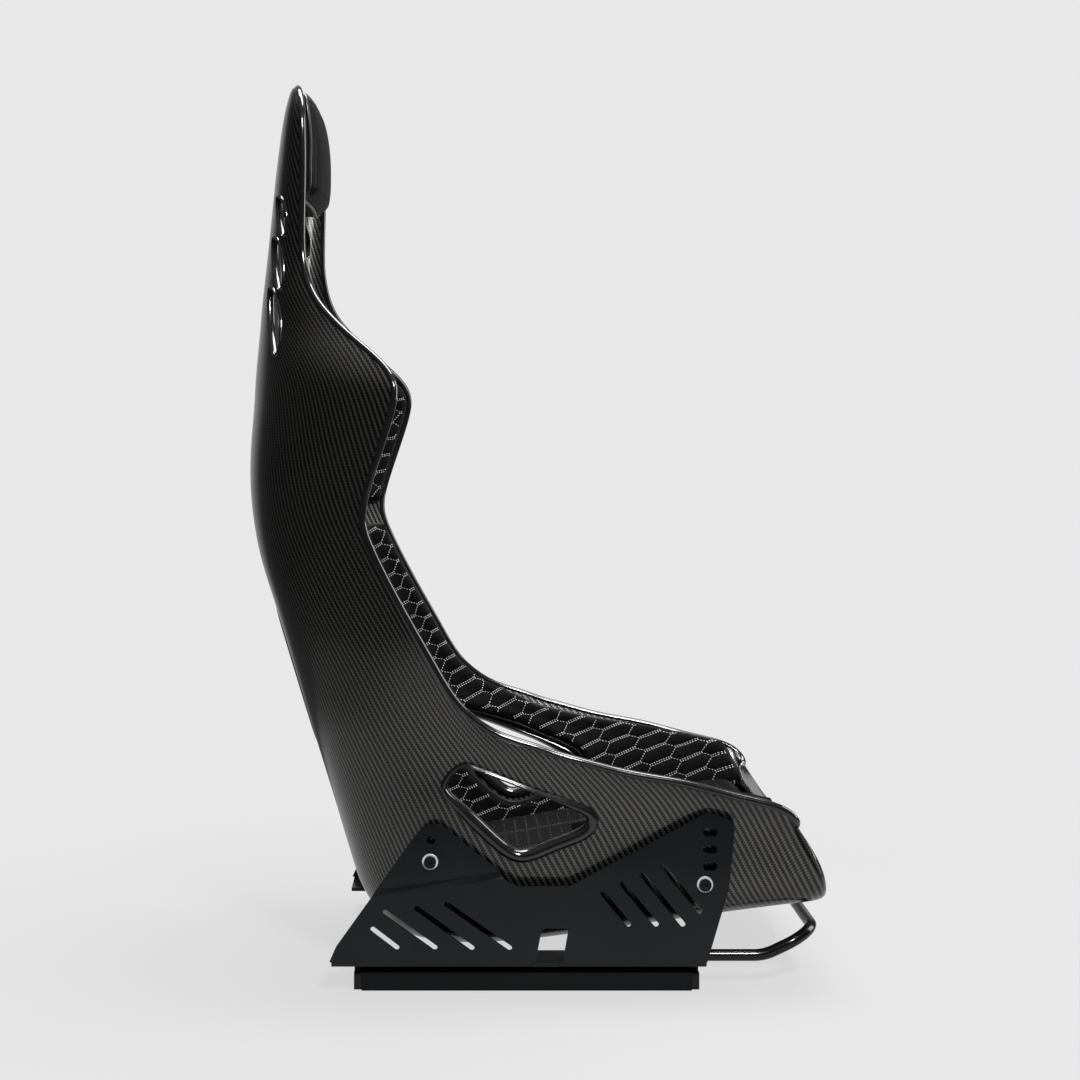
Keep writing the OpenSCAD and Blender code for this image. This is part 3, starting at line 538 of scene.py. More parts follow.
def painted(name, base, rough, speckle=900, depth=0.08, coat=0.0, shine=0.3):
    """Paint or powder coat: a slight orange peel, dust-fine speckle and uneven gloss."""
    r = Recipe(name, base, Specular_IOR_Level=shine, Coat_Weight=coat, Coat_Roughness=0.06)
    peel = r.noise(speckle, 2)
    haze = r.noise(14, 4)
    r.tint(r.ramp(haze, 0.3, 0.7), base, 0.85, 1.2)
    r.roughness(r.ramp(haze, 0.3, 0.7, rough - 0.05, rough + 0.06))
    r.bump(peel, depth, 0.0002)
    return r.material


def metal(name, base, rough, stretch=(300, 300, 300), bare=1.0):
    """Bare or plated metal with tool marks along one direction and a few stains."""
    r = Recipe(name, base, Metallic=bare)
    marks = r.noise(1.0, 3, r.stretched(stretch))
    stains = r.noise(60, 3)
    r.tint(r.ramp(stains, 0.4, 0.75), base, 1, 0.72)
    r.roughness(r.math("ADD", r.ramp(marks, 0.3, 0.7, rough - 0.05, rough + 0.08),
                       r.ramp(stains, 0.4, 0.75, 0.0, 0.1)))
    r.bump(marks, 0.05, 0.0002)
    return r.material


CARBON = carbon_material()
GLOSS = gloss_black()
SUEDE = suede()
SILVER_THREAD = thread("silver_thread", (0.98, 0.97, 0.94))
BLACK_THREAD = thread("black_thread", (0.012, 0.012, 0.012))
HEAD_LEATHER = leather("head_leather", (0.0035, 0.0033, 0.0033), 0.48, 700, 0.12, 0.10, 0.03)
PIPING = leather("piping_leather", (0.007, 0.007, 0.0075), 0.28, 900, 0.1, 0.5, 0.5)
CUSHION_LEATHER = leather("cushion_leather", (0.003, 0.003, 0.0033), 0.6, 520, 0.3, 0.08, 0.0)
BINDING = leather("binding_leather", (0.007, 0.007, 0.0075), 0.42, 800, 0.2)
EYELET = metal("eyelet_metal", (0.045, 0.045, 0.05), 0.35)
BRACKET = painted("bracket_powder_coat", (0.0045, 0.0060, 0.0072), 0.33, 1100, 0.10, 0.35, 0.26)
RAIL = painted("rail_powder_coat", (0.0030, 0.0036, 0.0042), 0.3, 1000, 0.10, 0.0, 0.24)
CAP = painted("cap_plastic", (0.008, 0.008, 0.008), 0.5, 700, 0.12)
BAR = painted("bar_gloss_paint", (0.003, 0.003, 0.0035), 0.2, 500, 0.03, 0.5)
ZINC = metal("bright_zinc", (0.88, 0.88, 0.90), 0.3, bare=0.6)
BLACK_STEEL = metal("black_oxide_steel", (0.045, 0.045, 0.05), 0.34)
PLATED = metal("plated_washer", (0.95, 0.95, 0.96), 0.32, bare=0.35)
ALLOY = metal("turned_alloy", (0.70, 0.70, 0.72), 0.3, (20, 900, 20))
BRASS = metal("pressed_brass", (0.62, 0.47, 0.22), 0.35)
CHROME = metal("polished_ball_steel", (0.85, 0.85, 0.87), 0.08)
TAPE = painted("hook_tape", (0.012, 0.012, 0.012), 0.95, 1600, 0.6)


# Carbon shell, its rolled rim and the rims of its openings ----------

def unrolled(points, t):
    """Side-view coordinates of places on the shell, unrolled round its corners."""
    s = station(t)
    depth = unit(np.stack([s[..., 2] - s[..., 0], s[..., 3] - s[..., 1]], -1))
    return points[..., [0, 2]] - depth * (s[..., 4] - np.abs(points[..., 1]))[..., None]


def turned(degrees):
    """The matrix that turns rows of side-view coordinates from the X axis towards Z."""
    a = math.radians(degrees)
    return np.array([[math.cos(a), math.sin(a)], [-math.sin(a), math.cos(a)]])


def even_rows(count, t0=0, t1=LAST):
    """Values of t at even distances along the shell, midway between its back and its rim."""
    t = np.linspace(t0, t1, 2000)
    step = sum(np.linalg.norm(np.diff(skin(t, np.full_like(t, v)), axis=0), axis=1)
               for v in (0.0, 0.8, 1.0))
    s = np.concatenate([[0], np.cumsum(step)])
    return np.interp(np.linspace(0, s[-1], count), s, t)


def build_shell():
    t, v = np.meshgrid(even_rows(300), np.linspace(-1, 1, 137), indexing="ij")
    t, v, keep = cut_openings(t, v, shell_holes, skin)
    outer = skin(t, v)
    inner = inside(t, v, SHELL_T)
    points, faces, used = between(outer, inner, keep)
    uv = np.concatenate([(unrolled(face, t) @ turned(WEAVE_TILT) / TOW).reshape(-1, 2)
                         for face in (outer, inner)])
    piece = add_mesh("carbon_shell", points, faces, CARBON, uv=uv[used])
    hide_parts("shell")


def build_rim():
    """The rolled bead along the whole edge of the shell."""
    down = even_rows(260)
    over = np.linspace(-1, 1, 60)[1:-1]
    t = np.concatenate([down, np.full(58, float(LAST)), down[::-1], np.zeros(58)])
    v = np.concatenate([np.ones(260), over[::-1], -np.ones(260), over])
    edge = inside(t, v, SHELL_T / 2)
    path = relaxed(evenly(edge, 620), 6)
    near, _ = nearest(path, edge)
    tube("rim_bead", path, relaxed(skin_normal(t, v)[near], 8), (3.8 * MM, 4.3 * MM), GLOSS,
         16)


def bezel(name, hole, r_across, r_through, nodes=(), slimmer=0.0):
    """Glossy rolled rim round an opening; hole is a closed outline in (t, v).
    The rim gets slimmer towards its top by the given share."""
    t, v = hole[:, 0], hole[:, 1]
    path = relaxed(inside(t, v, SHELL_T / 2), 2)
    away = unit(path - path.mean(0))
    piece = tube(name, path, skin_normal(t, v), (r_across, r_through), GLOSS, 16,
                 1 - slimmer * smoothstep(away[:, 2], -0.3, 0.6))
    if nodes:
        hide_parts(*nodes)


build_shell()
build_rim()
for side, turn in (("left", lambda h: h), ("right", mirrored)):
    bezel(f"lap_rim_{side}", turn(lap_tv), 7.2 * MM, 8 * MM, [f"lap_bezel_{side}"], 0.62)
    for k, hole in enumerate(slots_tv):
        bezel(f"harness_rim_{side}_{k + 1}", turn(hole), 2.2 * MM, 4.2 * MM,
              [f"harness_bezels_{side}"] if k == 0 else ())
bezel("vent_rim", vent_tv, 3 * MM, 3.8 * MM, ["back_vent_bezel"])
bezel("strap_rim", strap_tv, 3 * MM, 4 * MM, ["strap_slot_bezel"])


# Pads ----------

PAD_GAP = 2.4 * MM
PAD_DEPTH = SHELL_T + PAD_GAP
PAD_EDGE_R = 9 * MM
EDGE_SHARE = 0.28


def upsample(grid, rows, cols):
    """A grid of values at more rows and columns, on smooth curves."""
    down = spline(grid, np.linspace(0, len(grid) - 1, rows))
    return np.swapaxes(spline(np.swapaxes(down, 0, 1), np.linspace(0, grid.shape[1] - 1, cols)),
                       0, 1)


def inflated(top, base, coarse, cap):
    """How far a cloth simulation under pressure swells the top grid of a pad, at most cap.
    It runs on so many rows and columns of the grids."""
    rows, cols = top.shape[:2]
    pick = np.ix_(*(np.linspace(0, n - 1, k).astype(int) for n, k in zip(top.shape, coarse)))
    top, base = top[pick], base[pick]
    points, faces, _ = between(top, base)
    cloth = add_mesh("simulated_pad", points, faces, SUEDE, body=None)
    held = cloth.vertex_groups.new(name="held")
    n = top.shape[0] * top.shape[1]
    held.add(list(range(n, len(points))), 1.0, "REPLACE")
    settings = cloth.modifiers.new("Cloth", "CLOTH").settings
    settings.vertex_group_mass = "held"
    settings.use_pressure = True
    settings.uniform_pressure_force = 4
    settings.effector_weights.gravity = 0
    settings.quality = 4
    for number in range(1, 21):
        bpy.context.scene.frame_set(number)
    shape = cloth.evaluated_get(bpy.context.evaluated_depsgraph_get()).to_mesh()
    moved = np.empty(len(points) * 3)
    shape.vertices.foreach_get("co", moved)
    moved = moved.reshape(-1, 3)[:n] - points[:n]
    bpy.data.objects.remove(cloth)
    bpy.context.scene.frame_set(1)
    far = np.linalg.norm(moved, axis=1, keepdims=True)
    moved = moved * (cap * np.tanh(far / cap) / np.maximum(far, 1e-9))
    return upsample(moved.reshape(top.shape), rows, cols)


class Quilt:
    """Stitching of long hexagons: two long double-stitched sides and four single ones.
    The pattern is laid in the side view, unrolled round the corners of the shell."""

    stitch = 1.9 * MM
    pitch = 3.4 * MM
    apart = 1.25 * MM

    def __init__(self, tilt):
        sides = np.array([[24.9, 11.0], [8.4, 15.4], [15.8, -3.2]]) * MM @ turned(tilt)
        self.long, self.up, self.flat = sides
        self.rows = np.array([self.long + self.flat, self.up - self.flat])

    def sides(self):
        """Start and end of the sides that one cell adds, and whether each is double."""
        zero = np.zeros(2)
        return [(zero, self.long, True), (self.long, self.long + self.up, False),
                (-self.flat, zero, False)]

    def distance(self, flat):
        """Distance of pattern points (..., 2) to the nearest stitched side."""
        cell = np.floor(flat @ np.linalg.inv(self.rows))
        best = np.full(flat.shape[:-1], 1.0)
        for di in (-1, 0, 1):
            for dj in (-1, 0, 1):
                corner = (cell + [di, dj]) @ self.rows
                for a, b, _ in self.sides():
                    d = b - a
                    w = np.clip(((flat - corner - a) @ d) / (d @ d), 0, 1)
                    gap = np.linalg.norm(flat - corner - a - w[..., None] * d, axis=-1)
                    best = np.minimum(best, gap)
        return best

    def stitches(self, low, high):
        """Start and end of every stitch over the box low..high of the pattern."""
        corners = np.array([[x, y] for x in (low[0], high[0]) for y in (low[1], high[1])])
        cells = corners @ np.linalg.inv(self.rows)
        first, last = np.floor(cells.min(0)).astype(int) - 1, np.ceil(cells.max(0)).astype(int) + 1
        out = []
        for i in range(first[0], last[0]):
            for j in range(first[1], last[1]):
                corner = np.array([i, j]) @ self.rows
                for a, b, twice in self.sides():
                    size = np.linalg.norm(b - a)
                    d = (b - a) / size
                    side = np.array([-d[1], d[0]])
                    count = int(size / self.pitch)
                    starts = (np.arange(count) + 0.5) * size / count - self.stitch / 2
                    for shift in ((-self.apart, self.apart) if twice else (0.0,)):
                        p = corner + a + side * shift + starts[:, None] * d
                        out.append(np.stack([p, p + d * self.stitch], 1))
        out = np.concatenate(out)
        mid = out.mean(1)
        return out[((mid > low) & (mid < high)).all(1)]


def sample(grid, places):
    """Values of a grid at places (n, 2) counted in rows and columns."""
    rows, cols = grid.shape[:2]
    i = np.clip(places[:, 0], 0, rows - 1.001)
    j = np.clip(places[:, 1], 0, cols - 1.001)
    a, b = i.astype(int), j.astype(int)
    f, g = (i - a), (j - b)
    f, g = (x.reshape(-1, *([1] * (grid.ndim - 2))) for x in (f, g))
    return (grid[a, b] * (1 - f) * (1 - g) + grid[a + 1, b] * f * (1 - g)
            + grid[a, b + 1] * (1 - f) * g + grid[a + 1, b + 1] * f * g)


def grid_normals(grid, towards):
    """Unit normals of a grid, on the side that the given directions point to."""
    normals = unit(np.cross(np.gradient(grid, axis=0), np.gradient(grid, axis=1)))
    return normals * np.sign((normals * towards).sum(-1, keepdims=True))


def border(grid):
    """The points round the edge of a grid, in order."""
    return np.concatenate([grid[0, :-1], grid[:-1, -1], grid[-1, :0:-1], grid[:0:-1, 0]])


def add_stitches(name, ends, normals, material):
    """Small rounded stitches from ends (n, 2, 3), lying on the surface with those normals."""
    radius = 0.43 * MM
    a, b = ends[:, 0], ends[:, 1]
    along = unit(b - a)
    side = unit(np.cross(along, normals))
    up = np.cross(side, along)
    rings = [(0.0, 0.35, -0.1), (0.25, 1.0, 0.45), (0.75, 1.0, 0.45), (1.0, 0.35, -0.1)]
    section = ellipse(radius, radius * 0.9, 5)
    points = []
    for f, size, lift in rings:
        middle = a + (b - a) * f + up * radius * lift
        for x, y in section * size:
            points.append(middle + side * x + up * y)
    m = len(section)
    per = m * len(rings)
    points = np.stack(points, 1).reshape(-1, 3)
    one = [(r * m + k, r * m + (k + 1) % m, (r + 1) * m + (k + 1) % m, (r + 1) * m + k)
           for r in range(len(rings) - 1) for k in range(m)]
    starts = np.arange(len(a))[:, None, None] * per
    faces = (np.array(one)[None] + starts).reshape(-1, 4).tolist()
    for cap in (range(m)[::-1], range(per - m, per)):
        faces += (np.array(cap)[None] + starts[:, 0]).tolist()
    add_mesh(name, points, faces, material, sharp=None)


def round_edge(distance, radius):
    """Height from 0 at an edge to 1 at radius from it, on a quarter circle."""
    w = 1 - np.clip(distance / radius, 0, 1)
    return np.sqrt(np.maximum(0, 1 - w * w))


def border_distance(points, holes=()):
    """Distance of each point of a grid to the grid's border and to the hole outlines."""
    targets = np.concatenate([border(points), *holes])
    return nearest(points.reshape(-1, 3), targets)[1].reshape(points.shape[:2])


def quilted_pad(name, node, t_range, v_range, size, coarse, thick, tilt, holes=(), crown=None):
    """A stitched pad on the shell's inner face, with its bound edge and its stitches."""
    quilt = Quilt(tilt)

    def plane(t, v):
        return unrolled(skin(t, v), t)

    rows, cols = size
    t, v = np.meshgrid(even_rows(rows, *t_range), np.linspace(*v_range, cols), indexing="ij")
    t0, v0 = t, v
    keep = None
    if holes:
        t, v, keep = cut_openings(t, v, holes, skin)
    base = inside(t, v, PAD_DEPTH)
    normal = skin_normal(t, v)
    edge = border_distance(base, [inside(*hole.T, PAD_DEPTH) for hole in holes])
    lift = thick * (EDGE_SHARE + (1 - EDGE_SHARE) * round_edge(edge, PAD_EDGE_R))
    if crown is not None:
        lift = lift + crown(t, v) * smoothstep(edge, 0, 0.05)
    swell = inflated(inside(t0, v0, PAD_DEPTH + lift), inside(t0, v0, PAD_DEPTH), coarse, 4 * MM)
    swell = swell * smoothstep(edge, 0.002, 0.02)[..., None]
    gap = quilt.distance(plane(t, v))
    soft = smoothstep(edge, 2 * MM, 7 * MM)
    relief = 2.3 * MM * (1 - np.exp(-((gap / (3.4 * MM)) ** 2))) - 1.0 * MM
    top = base + normal * (lift + relief * soft)[..., None] + swell
    points, faces, _ = between(base, top, keep)
    pad = add_mesh(name, points, faces, SUEDE, sharp=60)
    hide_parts(node)

    flat = plane(t0, v0)
    normals = grid_normals(top, normal)
    stitches, ups = [], []
    for sign in ((1, -1) if v_range[0] < 0 < v_range[1] else (np.sign(v_range[0]),)):
        ours = (np.sign(v0) == sign) | (v0 == 0)
        spots = np.argwhere(ours)
        ends = quilt.stitches(flat[ours].min(0), flat[ours].max(0))
        mid = ends.mean(1)
        start = spots[nearest(mid, flat[ours])[0]]
        guess = np.stack([t0[start[:, 0], start[:, 1]], v0[start[:, 0], start[:, 1]]], 1)
        good = np.ones(len(ends), bool)
        places = []
        for e in (0, 1):
            p = solve(ends[:, e], lambda p: plane(*p.T), guess, 6)
            good &= np.linalg.norm(plane(*p.T) - ends[:, e], axis=1) < 0.5 * MM
            good &= (p[:, 0] > t_range[0]) & (p[:, 0] < t_range[1])
            good &= (p[:, 1] > v_range[0]) & (p[:, 1] < v_range[1])
            good &= p[:, 1] * sign > 0.002
            places.append(p)
        a, b = (p[good] for p in places)
        where = [np.stack([np.interp(p[:, 0], t0[:, 0], np.arange(rows)),
                           np.interp(p[:, 1], v0[0], np.arange(cols))], 1) for p in (a, b)]
        pa, pb = sample(top, where[0]), sample(top, where[1])
        clear = sample(edge, (where[0] + where[1]) / 2) > 3.6 * MM
        for hole in holes:
            clear &= ~contains(hole, (a + b) / 2)
        clear &= np.linalg.norm(pb - pa, axis=1) < 4 * MM
        stitches.append(np.stack([pa, pb], 1)[clear])
        ups.append(sample(normals, where[0])[clear])
    ends, up = np.concatenate(stitches), unit(np.concatenate(ups))
    add_stitches(f"{name}_stitching", ends, up, SILVER_THREAD)
    bind_edge(f"{name}_binding", top, normals, 2.1 * MM)
    for k, hole in enumerate(holes):
        ring = inside(*hole.T, PAD_DEPTH + EDGE_SHARE * thick)
        tube(f"{name}_opening_binding_{k + 1}", relaxed(ring, 3), skin_normal(*hole.T),
             (2.2 * MM, 2.2 * MM), BINDING)


def bind_edge(name, top, normals, radius):
    """Round binding along the border of a pad's top."""
    ring = border(top)
    path = evenly(ring, 420)
    near, _ = nearest(path, ring)
    tube(name, relaxed(path, 4), relaxed(border(normals)[near], 6), (radius, radius), BINDING)


def grown(outline_mm, d, above):
    """A side-view outline moved outwards from its middle by d mm, and by less above it."""
    points = smooth_outline(outline_mm, 220) / MM
    away = unit(points - np.array(outline_mm, float).mean(0))
    return (points + away * (d + (above - d) * smoothstep(away[:, 1:], 0.0, 0.5))) * MM


lap_cut = on_shell(grown(LAP_OPENING, 11.5, 6.5), [0, 2], (17, 28), (0.4, 0.98))

quilted_pad("shoulder_pad_cover", "shoulder_pad", (9.3, 13.75), (-0.972, 0.972), (120, 300),
            (14, 40), 15 * MM, -14)
quilted_pad("bolster_cover_left", "bolster_pad_left", (14.8, 29.1), (0.56, 0.972), (330, 84),
            (50, 12), 15 * MM, 0, holes=[lap_cut])
quilted_pad("bolster_cover_right", "bolster_pad_right", (14.8, 29.1), (-0.972, -0.56), (330, 84),
            (50, 12), 15 * MM, 0, holes=[mirrored(lap_cut)])
quilted_pad("back_cover", "back_pad", (15.0, 19.6), (-0.5, 0.5), (150, 190), (22, 26), 18 * MM, 0,
            crown=lambda t, v: 14 * MM * np.cos(np.clip(v / 0.5, -1, 1) * np.pi / 2) ** 0.6)


# Head pad: a front panel, a gusset between two rows of piping and a slanting bottom panel ------

HEAD_LOW, HEAD_HIGH = (np.array(c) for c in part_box("head_pad"))
HEAD_FRONT_X = -0.2305


def head_grids(rows, cols):
    """The head pad's back on the shell and its front, a little hollow at the top and bottom."""
    p, q = np.meshgrid(np.linspace(0, 1, rows), np.linspace(-1, 1, cols), indexing="ij")
    z = HEAD_LOW[2] + (HEAD_HIGH[2] - HEAD_LOW[2]) * p
    y = HEAD_HIGH[1] * q * (1 - 0.07 * np.abs(2 * p - 1) ** 6)
    tv = on_shell(np.stack([y.ravel(), z.ravel()], 1), [1, 2], (1, 7), (-0.85, 0.85))
    back = inside(*tv.T, PAD_DEPTH).reshape(rows, cols, 3)
    front_x = HEAD_FRONT_X - 0.0105 * (np.maximum(0, p - 0.45) / 0.55) ** 2
    front_x = front_x - 0.010 * (np.maximum(0, 0.12 - p) / 0.12) ** 2 - 0.007 * q * q
    side = np.sqrt(np.maximum(0, 1 - np.abs(q) ** 9))
    ends = np.sqrt(np.maximum(0, 1 - np.abs(2 * p - 1) ** 12))
    deep = np.maximum(front_x - back[..., 0], 4 * MM) * (0.82 + 0.18 * side * ends)
    front = back + np.stack([deep, -0.02 * y, np.zeros_like(y)], -1)
    return back, front


def build_head_pad():
    back, front = head_grids(90, 150)
    swell = inflated(front, back, (16, 24), 3 * MM)
    edge = border_distance(front)
    front = front + swell * smoothstep(edge, 0.0, 0.02)[..., None]
    crease = smoothstep(np.abs(edge - 9 * MM), 0, 3 * MM)
    front = front + grid_normals(front, (1, 0, 0)) * ((crease - 1) * 1.2 * MM)[..., None]
    points, faces, _ = between(back, front)
    pad = add_mesh("head_pad_cover", points, faces, HEAD_LEATHER, sharp=70)
    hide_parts("head_pad")
    for k, share in enumerate((0.02, 0.98)):
        ring = border(back * (1 - share) + front * share)
        path = relaxed(evenly(ring, 360), 10)
        outward = unit((path - path.mean(0)) * [0, 1, 1])
        tube(f"head_piping_{k + 1}", path + outward * 0.8 * MM, outward, (2.3 * MM, 2.3 * MM),
             PIPING, 12)


build_head_pad()


# Seat cushion: perforated cover with small eyelets, sewn channels and a piped edge ----------

CUSHION_X = (-0.138, 0.256)
CUSHION_HALF = 0.172
CUSHION_SEAMS = (-0.052, 0.052)
EYELET_PITCH = 15 * MM
EYELET_R = 1.2 * MM


def cushion_top(x):
    """Height of the cushion's top: rising to the front, rounded off at both ends."""
    p = (x - CUSHION_X[0]) / (CUSHION_X[1] - CUSHION_X[0])
    return (0.112 + 0.070 * np.maximum(0, p) ** 1.25 - 0.010 * (np.maximum(0, p - 0.9) / 0.1) ** 2
            - 0.022 * (np.maximum(0, 0.1 - p) / 0.1) ** 2)


def build_cushion():
    rows, cols = 200, 170
    x, q = np.meshgrid(np.linspace(*CUSHION_X, rows), np.linspace(-1, 1, cols), indexing="ij")
    tv = on_shell(np.stack([x.ravel(), 0.140 * q.ravel()], 1), [0, 1], (20.5, 29), (-0.62, 0.62))
    low = inside(*tv.T, SHELL_T + 3 * MM).reshape(rows, cols, 3)
    y = CUSHION_HALF * q * (1 - 0.08 * np.abs(q) ** 4)
    high = np.stack([x, y, cushion_top(x) - 0.008 * np.abs(q) ** 3], -1)
    edge = border_distance(high)
    sunk = (1 - round_edge(edge, 16 * MM)) * 11 * MM
    high[..., 2] = np.maximum(high[..., 2] - sunk, low[..., 2] + 6 * MM)
    swell = inflated(high, low, (26, 22), 7 * MM)
    high = high + swell * smoothstep(edge, 0.0, 0.03)[..., None]
    groove = sum(np.exp(-((y - s) / (3 * MM)) ** 2) for s in CUSHION_SEAMS)
    high[..., 2] -= 3.0 * MM * groove * smoothstep(edge, 0.01, 0.03)
    slot_gap = np.maximum(np.abs(x - STRAP_X) - STRAP_HALF[0], np.abs(y) - STRAP_HALF[1])
    keep_cell = (slot_gap[:-1, :-1] > 0) | (slot_gap[1:, 1:] > 0)
    points, faces, _ = between(low, high, keep_cell)
    pad = add_mesh("seat_cushion_cover", points, faces, CUSHION_LEATHER,
                   sharp=60)
    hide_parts("seat_cushion")
    normals = grid_normals(high, (0, 0, 1))
    bind_edge("seat_cushion_piping", high, normals, 2.4 * MM)

    def cell(px, py):
        """Row and column of the grid at a place seen from above."""
        return (np.interp(px, x[:, 0], np.arange(rows)),
                np.interp(py, y[rows // 2], np.arange(cols)))

    lines, ups = [], []
    for line in (s + shift for s in CUSHION_SEAMS for shift in (-4 * MM, 4 * MM)):
        for start in np.arange(CUSHION_X[0] + 0.03, CUSHION_X[1] - 0.03, 3.4 * MM):
            where = np.array([cell(start, line), cell(start + 2.4 * MM, line)])
            lines.append(sample(high, where))
            ups.append(sample(normals, where[:1])[0])
    add_stitches("seat_cushion_stitching", np.array(lines), np.array(ups), BLACK_THREAD)
    spots = np.array([cell(*place) for place in eyelet_places()])
    add_eyelets(sample(high, spots), unit(sample(normals, spots)))


def eyelet_places():
    """Staggered rows, left out at the seams and round the strap slot."""
    places = []
    for a in range(-20, 40):
        for b in range(-18, 19):
            px = CUSHION_X[0] + 0.02 + a * EYELET_PITCH * 0.866
            py = (b + 0.5 * (a % 2)) * EYELET_PITCH
            near_seam = min(abs(py - s) for s in CUSHION_SEAMS) < 8 * MM
            near_slot = abs(px - STRAP_X) < 0.022 and abs(py) < 0.046
            if CUSHION_X[0] + 0.014 < px < CUSHION_X[1] - 0.008 and abs(py) < 0.146:
                if not near_seam and not near_slot:
                    places.append((px, py))
    return places


def add_eyelets(middle, up):
    """A small ring set in the cover at each of the places, with its normal."""
    side = unit(np.cross(up, [0, 1, 0]))
    other = np.cross(up, side)
    turns, section = 12, ellipse(0.42 * MM, 0.4 * MM, 5)
    points = []
    for k in range(turns):
        w = 2 * math.pi * k / turns
        out = side * math.cos(w) + other * math.sin(w)
        for a, b in section:
            points.append(middle + out * (EYELET_R + a) + up * (b - 0.12 * MM))
    m = len(section)
    points = np.stack(points, 1).reshape(-1, 3)
    one = [(k * m + s, k * m + (s + 1) % m, (k + 1) % turns * m + (s + 1) % m,
            (k + 1) % turns * m + s) for k in range(turns) for s in range(m)]
    faces = (np.array(one)[None] + np.arange(len(up))[:, None, None] * m * turns).reshape(-1, 4)
    add_mesh("seat_cushion_eyelets", points, faces, EYELET, sharp=None)


build_cushion()


# Release bar ----------

BAR_R = 6.25 * MM


def filleted(points, radii):
    """An open path with its corners rounded in ten steps each."""
    steps, out = 10, []
    for k, p in enumerate(points):
        if not radii[k]:
            out.append(p)
            continue
        a, b = unit(points[k - 1] - p), unit(points[k + 1] - p)
        half = math.acos(float(a @ b)) / 2
        mid = unit(a + b)
        centre = p + mid * radii[k] / math.sin(half)
        side = unit(a - b)
        for s in range(steps + 1):
            w = (math.pi / 2 - half) * (1 - 2 * s / steps)
            out.append(centre - mid * radii[k] * math.cos(w) + side * radii[k] * math.sin(w))
    return np.array(out)


def build_release_bar():
    low, high = (np.array(c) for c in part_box("release_bar"))
    r = BAR_R
    y = high[1] - r
    half = [(low[0], y, 0.032), (0.248, y, 0.032), (high[0] - r, y, high[2] - r)]
    route = np.array(half + [(x, -b, z) for x, b, z in half[::-1]])
    path = filleted(route, [0, 0.050, 0.036, 0.036, 0.050, 0])
    fine = []
    for a, b in zip(path[:-1], path[1:]):
        n = max(1, int(np.linalg.norm(b - a) / 0.012))
        fine += [a + (b - a) * k / n for k in range(n)]
    path = np.array(fine + [path[-1]])
    across, up = directions(path, np.tile([0.0, 0.0, 1.0], (len(path), 1)), closed=False)
    points, faces = sweep(path, across, up, ellipse(r, r, 28), closed=False)
    piece = add_mesh("release_bar_tube", points, faces, BAR, body="bar")
    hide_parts("release_bar")


build_release_bar()


# CAD parts kept as they are: materials, and rounded edges ----------

FINISH = {
    "side_bracket": (BRACKET, 0.6), "bar_hinge_ears": (RAIL, 0.4), "upper_rail": (RAIL, 0.5),
    "lower_rail": (RAIL, 0.6), "rail_end_caps": (CAP, 0.6), "rail_end_stops": (ZINC, 0.3),
    "travel_stops": (ZINC, 0.3), "side_spacers": (ALLOY, 0.4), "side_washers": (PLATED, 0.4),
    "side_bolts": (BLACK_STEEL, 0.5), "flange_screws": (BLACK_STEEL, 0.4),
    "flange_nuts": (ZINC, 0.4), "mount_inserts": (BRASS, 0), "ball_cage": (BRASS, 0),
    "rail_balls": (CHROME, 0), "latch_pawl": (ZINC, 0.4), "pawl_pins": (ZINC, 0.2),
    "pawl_springs": (ZINC, 0), "bar_pins": (ZINC, 0.3), "bar_springs": (ZINC, 0),
    "bar_lever": (BAR, 0.5), "hook_patches": (TAPE, 0)}


def finish_cad_parts():
    for name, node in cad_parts.items():
        match = [f for key, f in FINISH.items() if name.startswith(key)]
        if not match:
            continue
        material, width = match[0]
        if not node.material_slots:
            node.data.materials.append(material)
        for slot in node.material_slots:
            slot.material = material
        if width:
            weld = node.modifiers.new("Weld", "WELD")
            weld.merge_threshold = 0.02 * MM
            bevel = node.modifiers.new("Bevel", "BEVEL")
            bevel.width = width * MM
            bevel.segments = 2
            bevel.limit_method = "ANGLE"
            bevel.angle_limit = math.radians(38)
            bevel.harden_normals = True


finish_cad_parts()


# Camera, lights and floor ----------

PALE = (0.806, 0.806, 0.806)
BACKDROP = (0.72, 0.99, 0.035, 0.45)


def build_camera():
    data = bpy.data.cameras.new("camera")
    data.lens = 68.0
    data.sensor_width = 36.0
    data.shift_x = 0.0648
    data.shift_y = -0.088
    data.clip_end = 100
    camera = bpy.data.objects.new("camera", data)
    camera.matrix_world = (Matrix.Translation((-0.067, -2.360, 0.578))
                           @ Matrix.Rotation(math.pi / 2, 4, "X"))
    bpy.context.scene.collection.objects.link(camera)
    bpy.context.scene.camera = camera


def area_light(name, place, target, size, power):
    data = bpy.data.lights.new(name, "AREA")
    data.shape = "RECTANGLE"
    data.size, data.size_y = size
    data.energy = power
    light = bpy.data.objects.new(name, data)
    light.location = place
    light.rotation_euler = (Vector(target) - Vector(place)).to_track_quat("-Z", "Y").to_euler()
    bpy.context.scene.collection.objects.link(light)


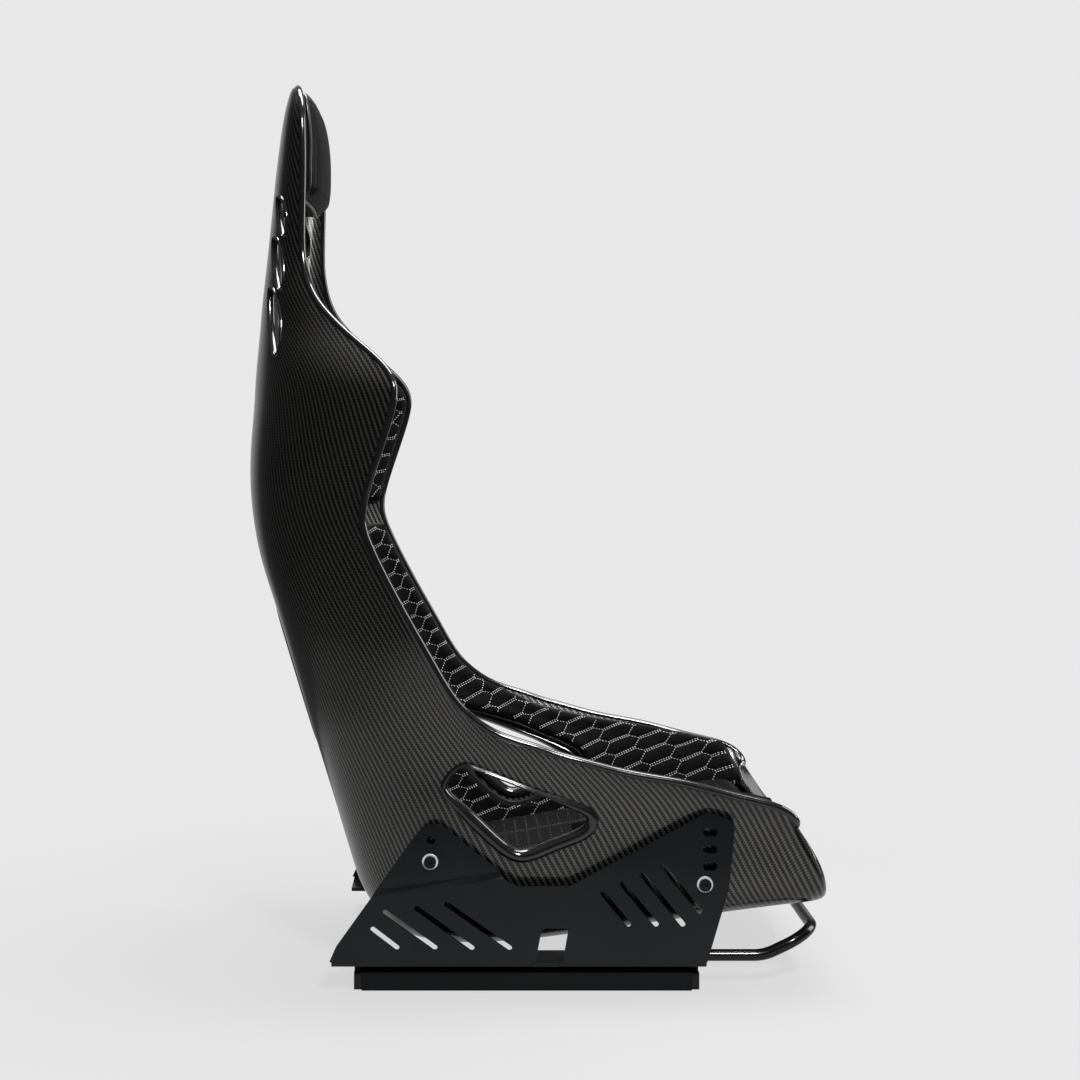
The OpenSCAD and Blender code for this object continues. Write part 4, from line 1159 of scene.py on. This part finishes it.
def build_world():
    """Pale all round for the camera; for reflections, a pale backdrop in a dark room."""
    world = bpy.data.worlds.new("studio")
    world.use_nodes = True
    bpy.context.scene.world = world
    world.node_tree.nodes.clear()
    w = Nodes(world.node_tree)
    _, back, up = w.split(w.node("ShaderNodeTexCoord").outputs["Generated"])
    backdrop = w.ramp(back, *BACKDROP, "SMOOTHSTEP")
    ceiling = w.ramp(up, 0.25, 0.95, 0.0, 0.22, "SMOOTHSTEP")
    studio, plain = w.node("ShaderNodeBackground"), w.node("ShaderNodeBackground")
    w.feed(studio.inputs["Strength"], w.math("ADD", backdrop, ceiling))
    plain.inputs["Color"].default_value = (*PALE, 1)
    w.mix_shaders(w.camera_sees(), studio, plain, w.node("ShaderNodeOutputWorld"))


def build_floor():
    """A pale studio floor that fades into the backdrop colour away from the seat.
    Reflections see only the lit patch round the seat and the floor before the backdrop."""
    r = Recipe("studio_floor", (0.44, 0.44, 0.44), Roughness=0.5)
    r.color(r.mix(r.noise(3, 3), (0.43, 0.43, 0.43), (0.45, 0.45, 0.45)))
    length = r.node("ShaderNodeVectorMath", operation="LENGTH")
    r.feed(length.inputs[0], r.place)
    away = length.outputs["Value"]
    _, back, _ = r.split(r.place)
    lit = r.ramp(away, 0.80, 1.05, 0.42, 0.05)
    behind = r.math("MULTIPLY", r.ramp(r.math("DIVIDE", back, away), *BACKDROP),
                    r.ramp(back, 0.3, 2.5))
    glow = r.node("ShaderNodeEmission")
    glow.inputs["Color"].default_value = (*PALE, 1)
    r.feed(glow.inputs["Strength"],
           r.math("MAXIMUM", r.camera_sees(), r.math("MAXIMUM", lit, behind)))
    r.mix_shaders(r.ramp(away, 0.30, 0.95, 0.78, 1.0, "SMOOTHSTEP"), r.shader, glow,
                  r.tree.nodes["Material Output"])
    turn = np.linspace(0, 2 * np.pi, 96, endpoint=False)
    edge = np.stack([30 * np.cos(turn), 30 * np.sin(turn), np.full(96, -0.3 * MM)], 1)
    floor = add_mesh("studio_floor", edge, [tuple(range(96))], r.material, body=None, sharp=None)


build_camera()
build_world()
build_floor()
area_light("top_softbox", (0.15, 0.35, 2.7), (0, 0, 0.3), (2.2, 1.1), 95)
area_light("right_softbox", (2.3, 0.5, 1.2), (0.1, 0, 0.4), (0.9, 1.8), 26)
area_light("front_fill", (0.9, -3.3, 3.0), (0, 0, 0.4), (0.7, 0.7), 165)
bpy.context.scene.view_settings.view_transform = "Standard"
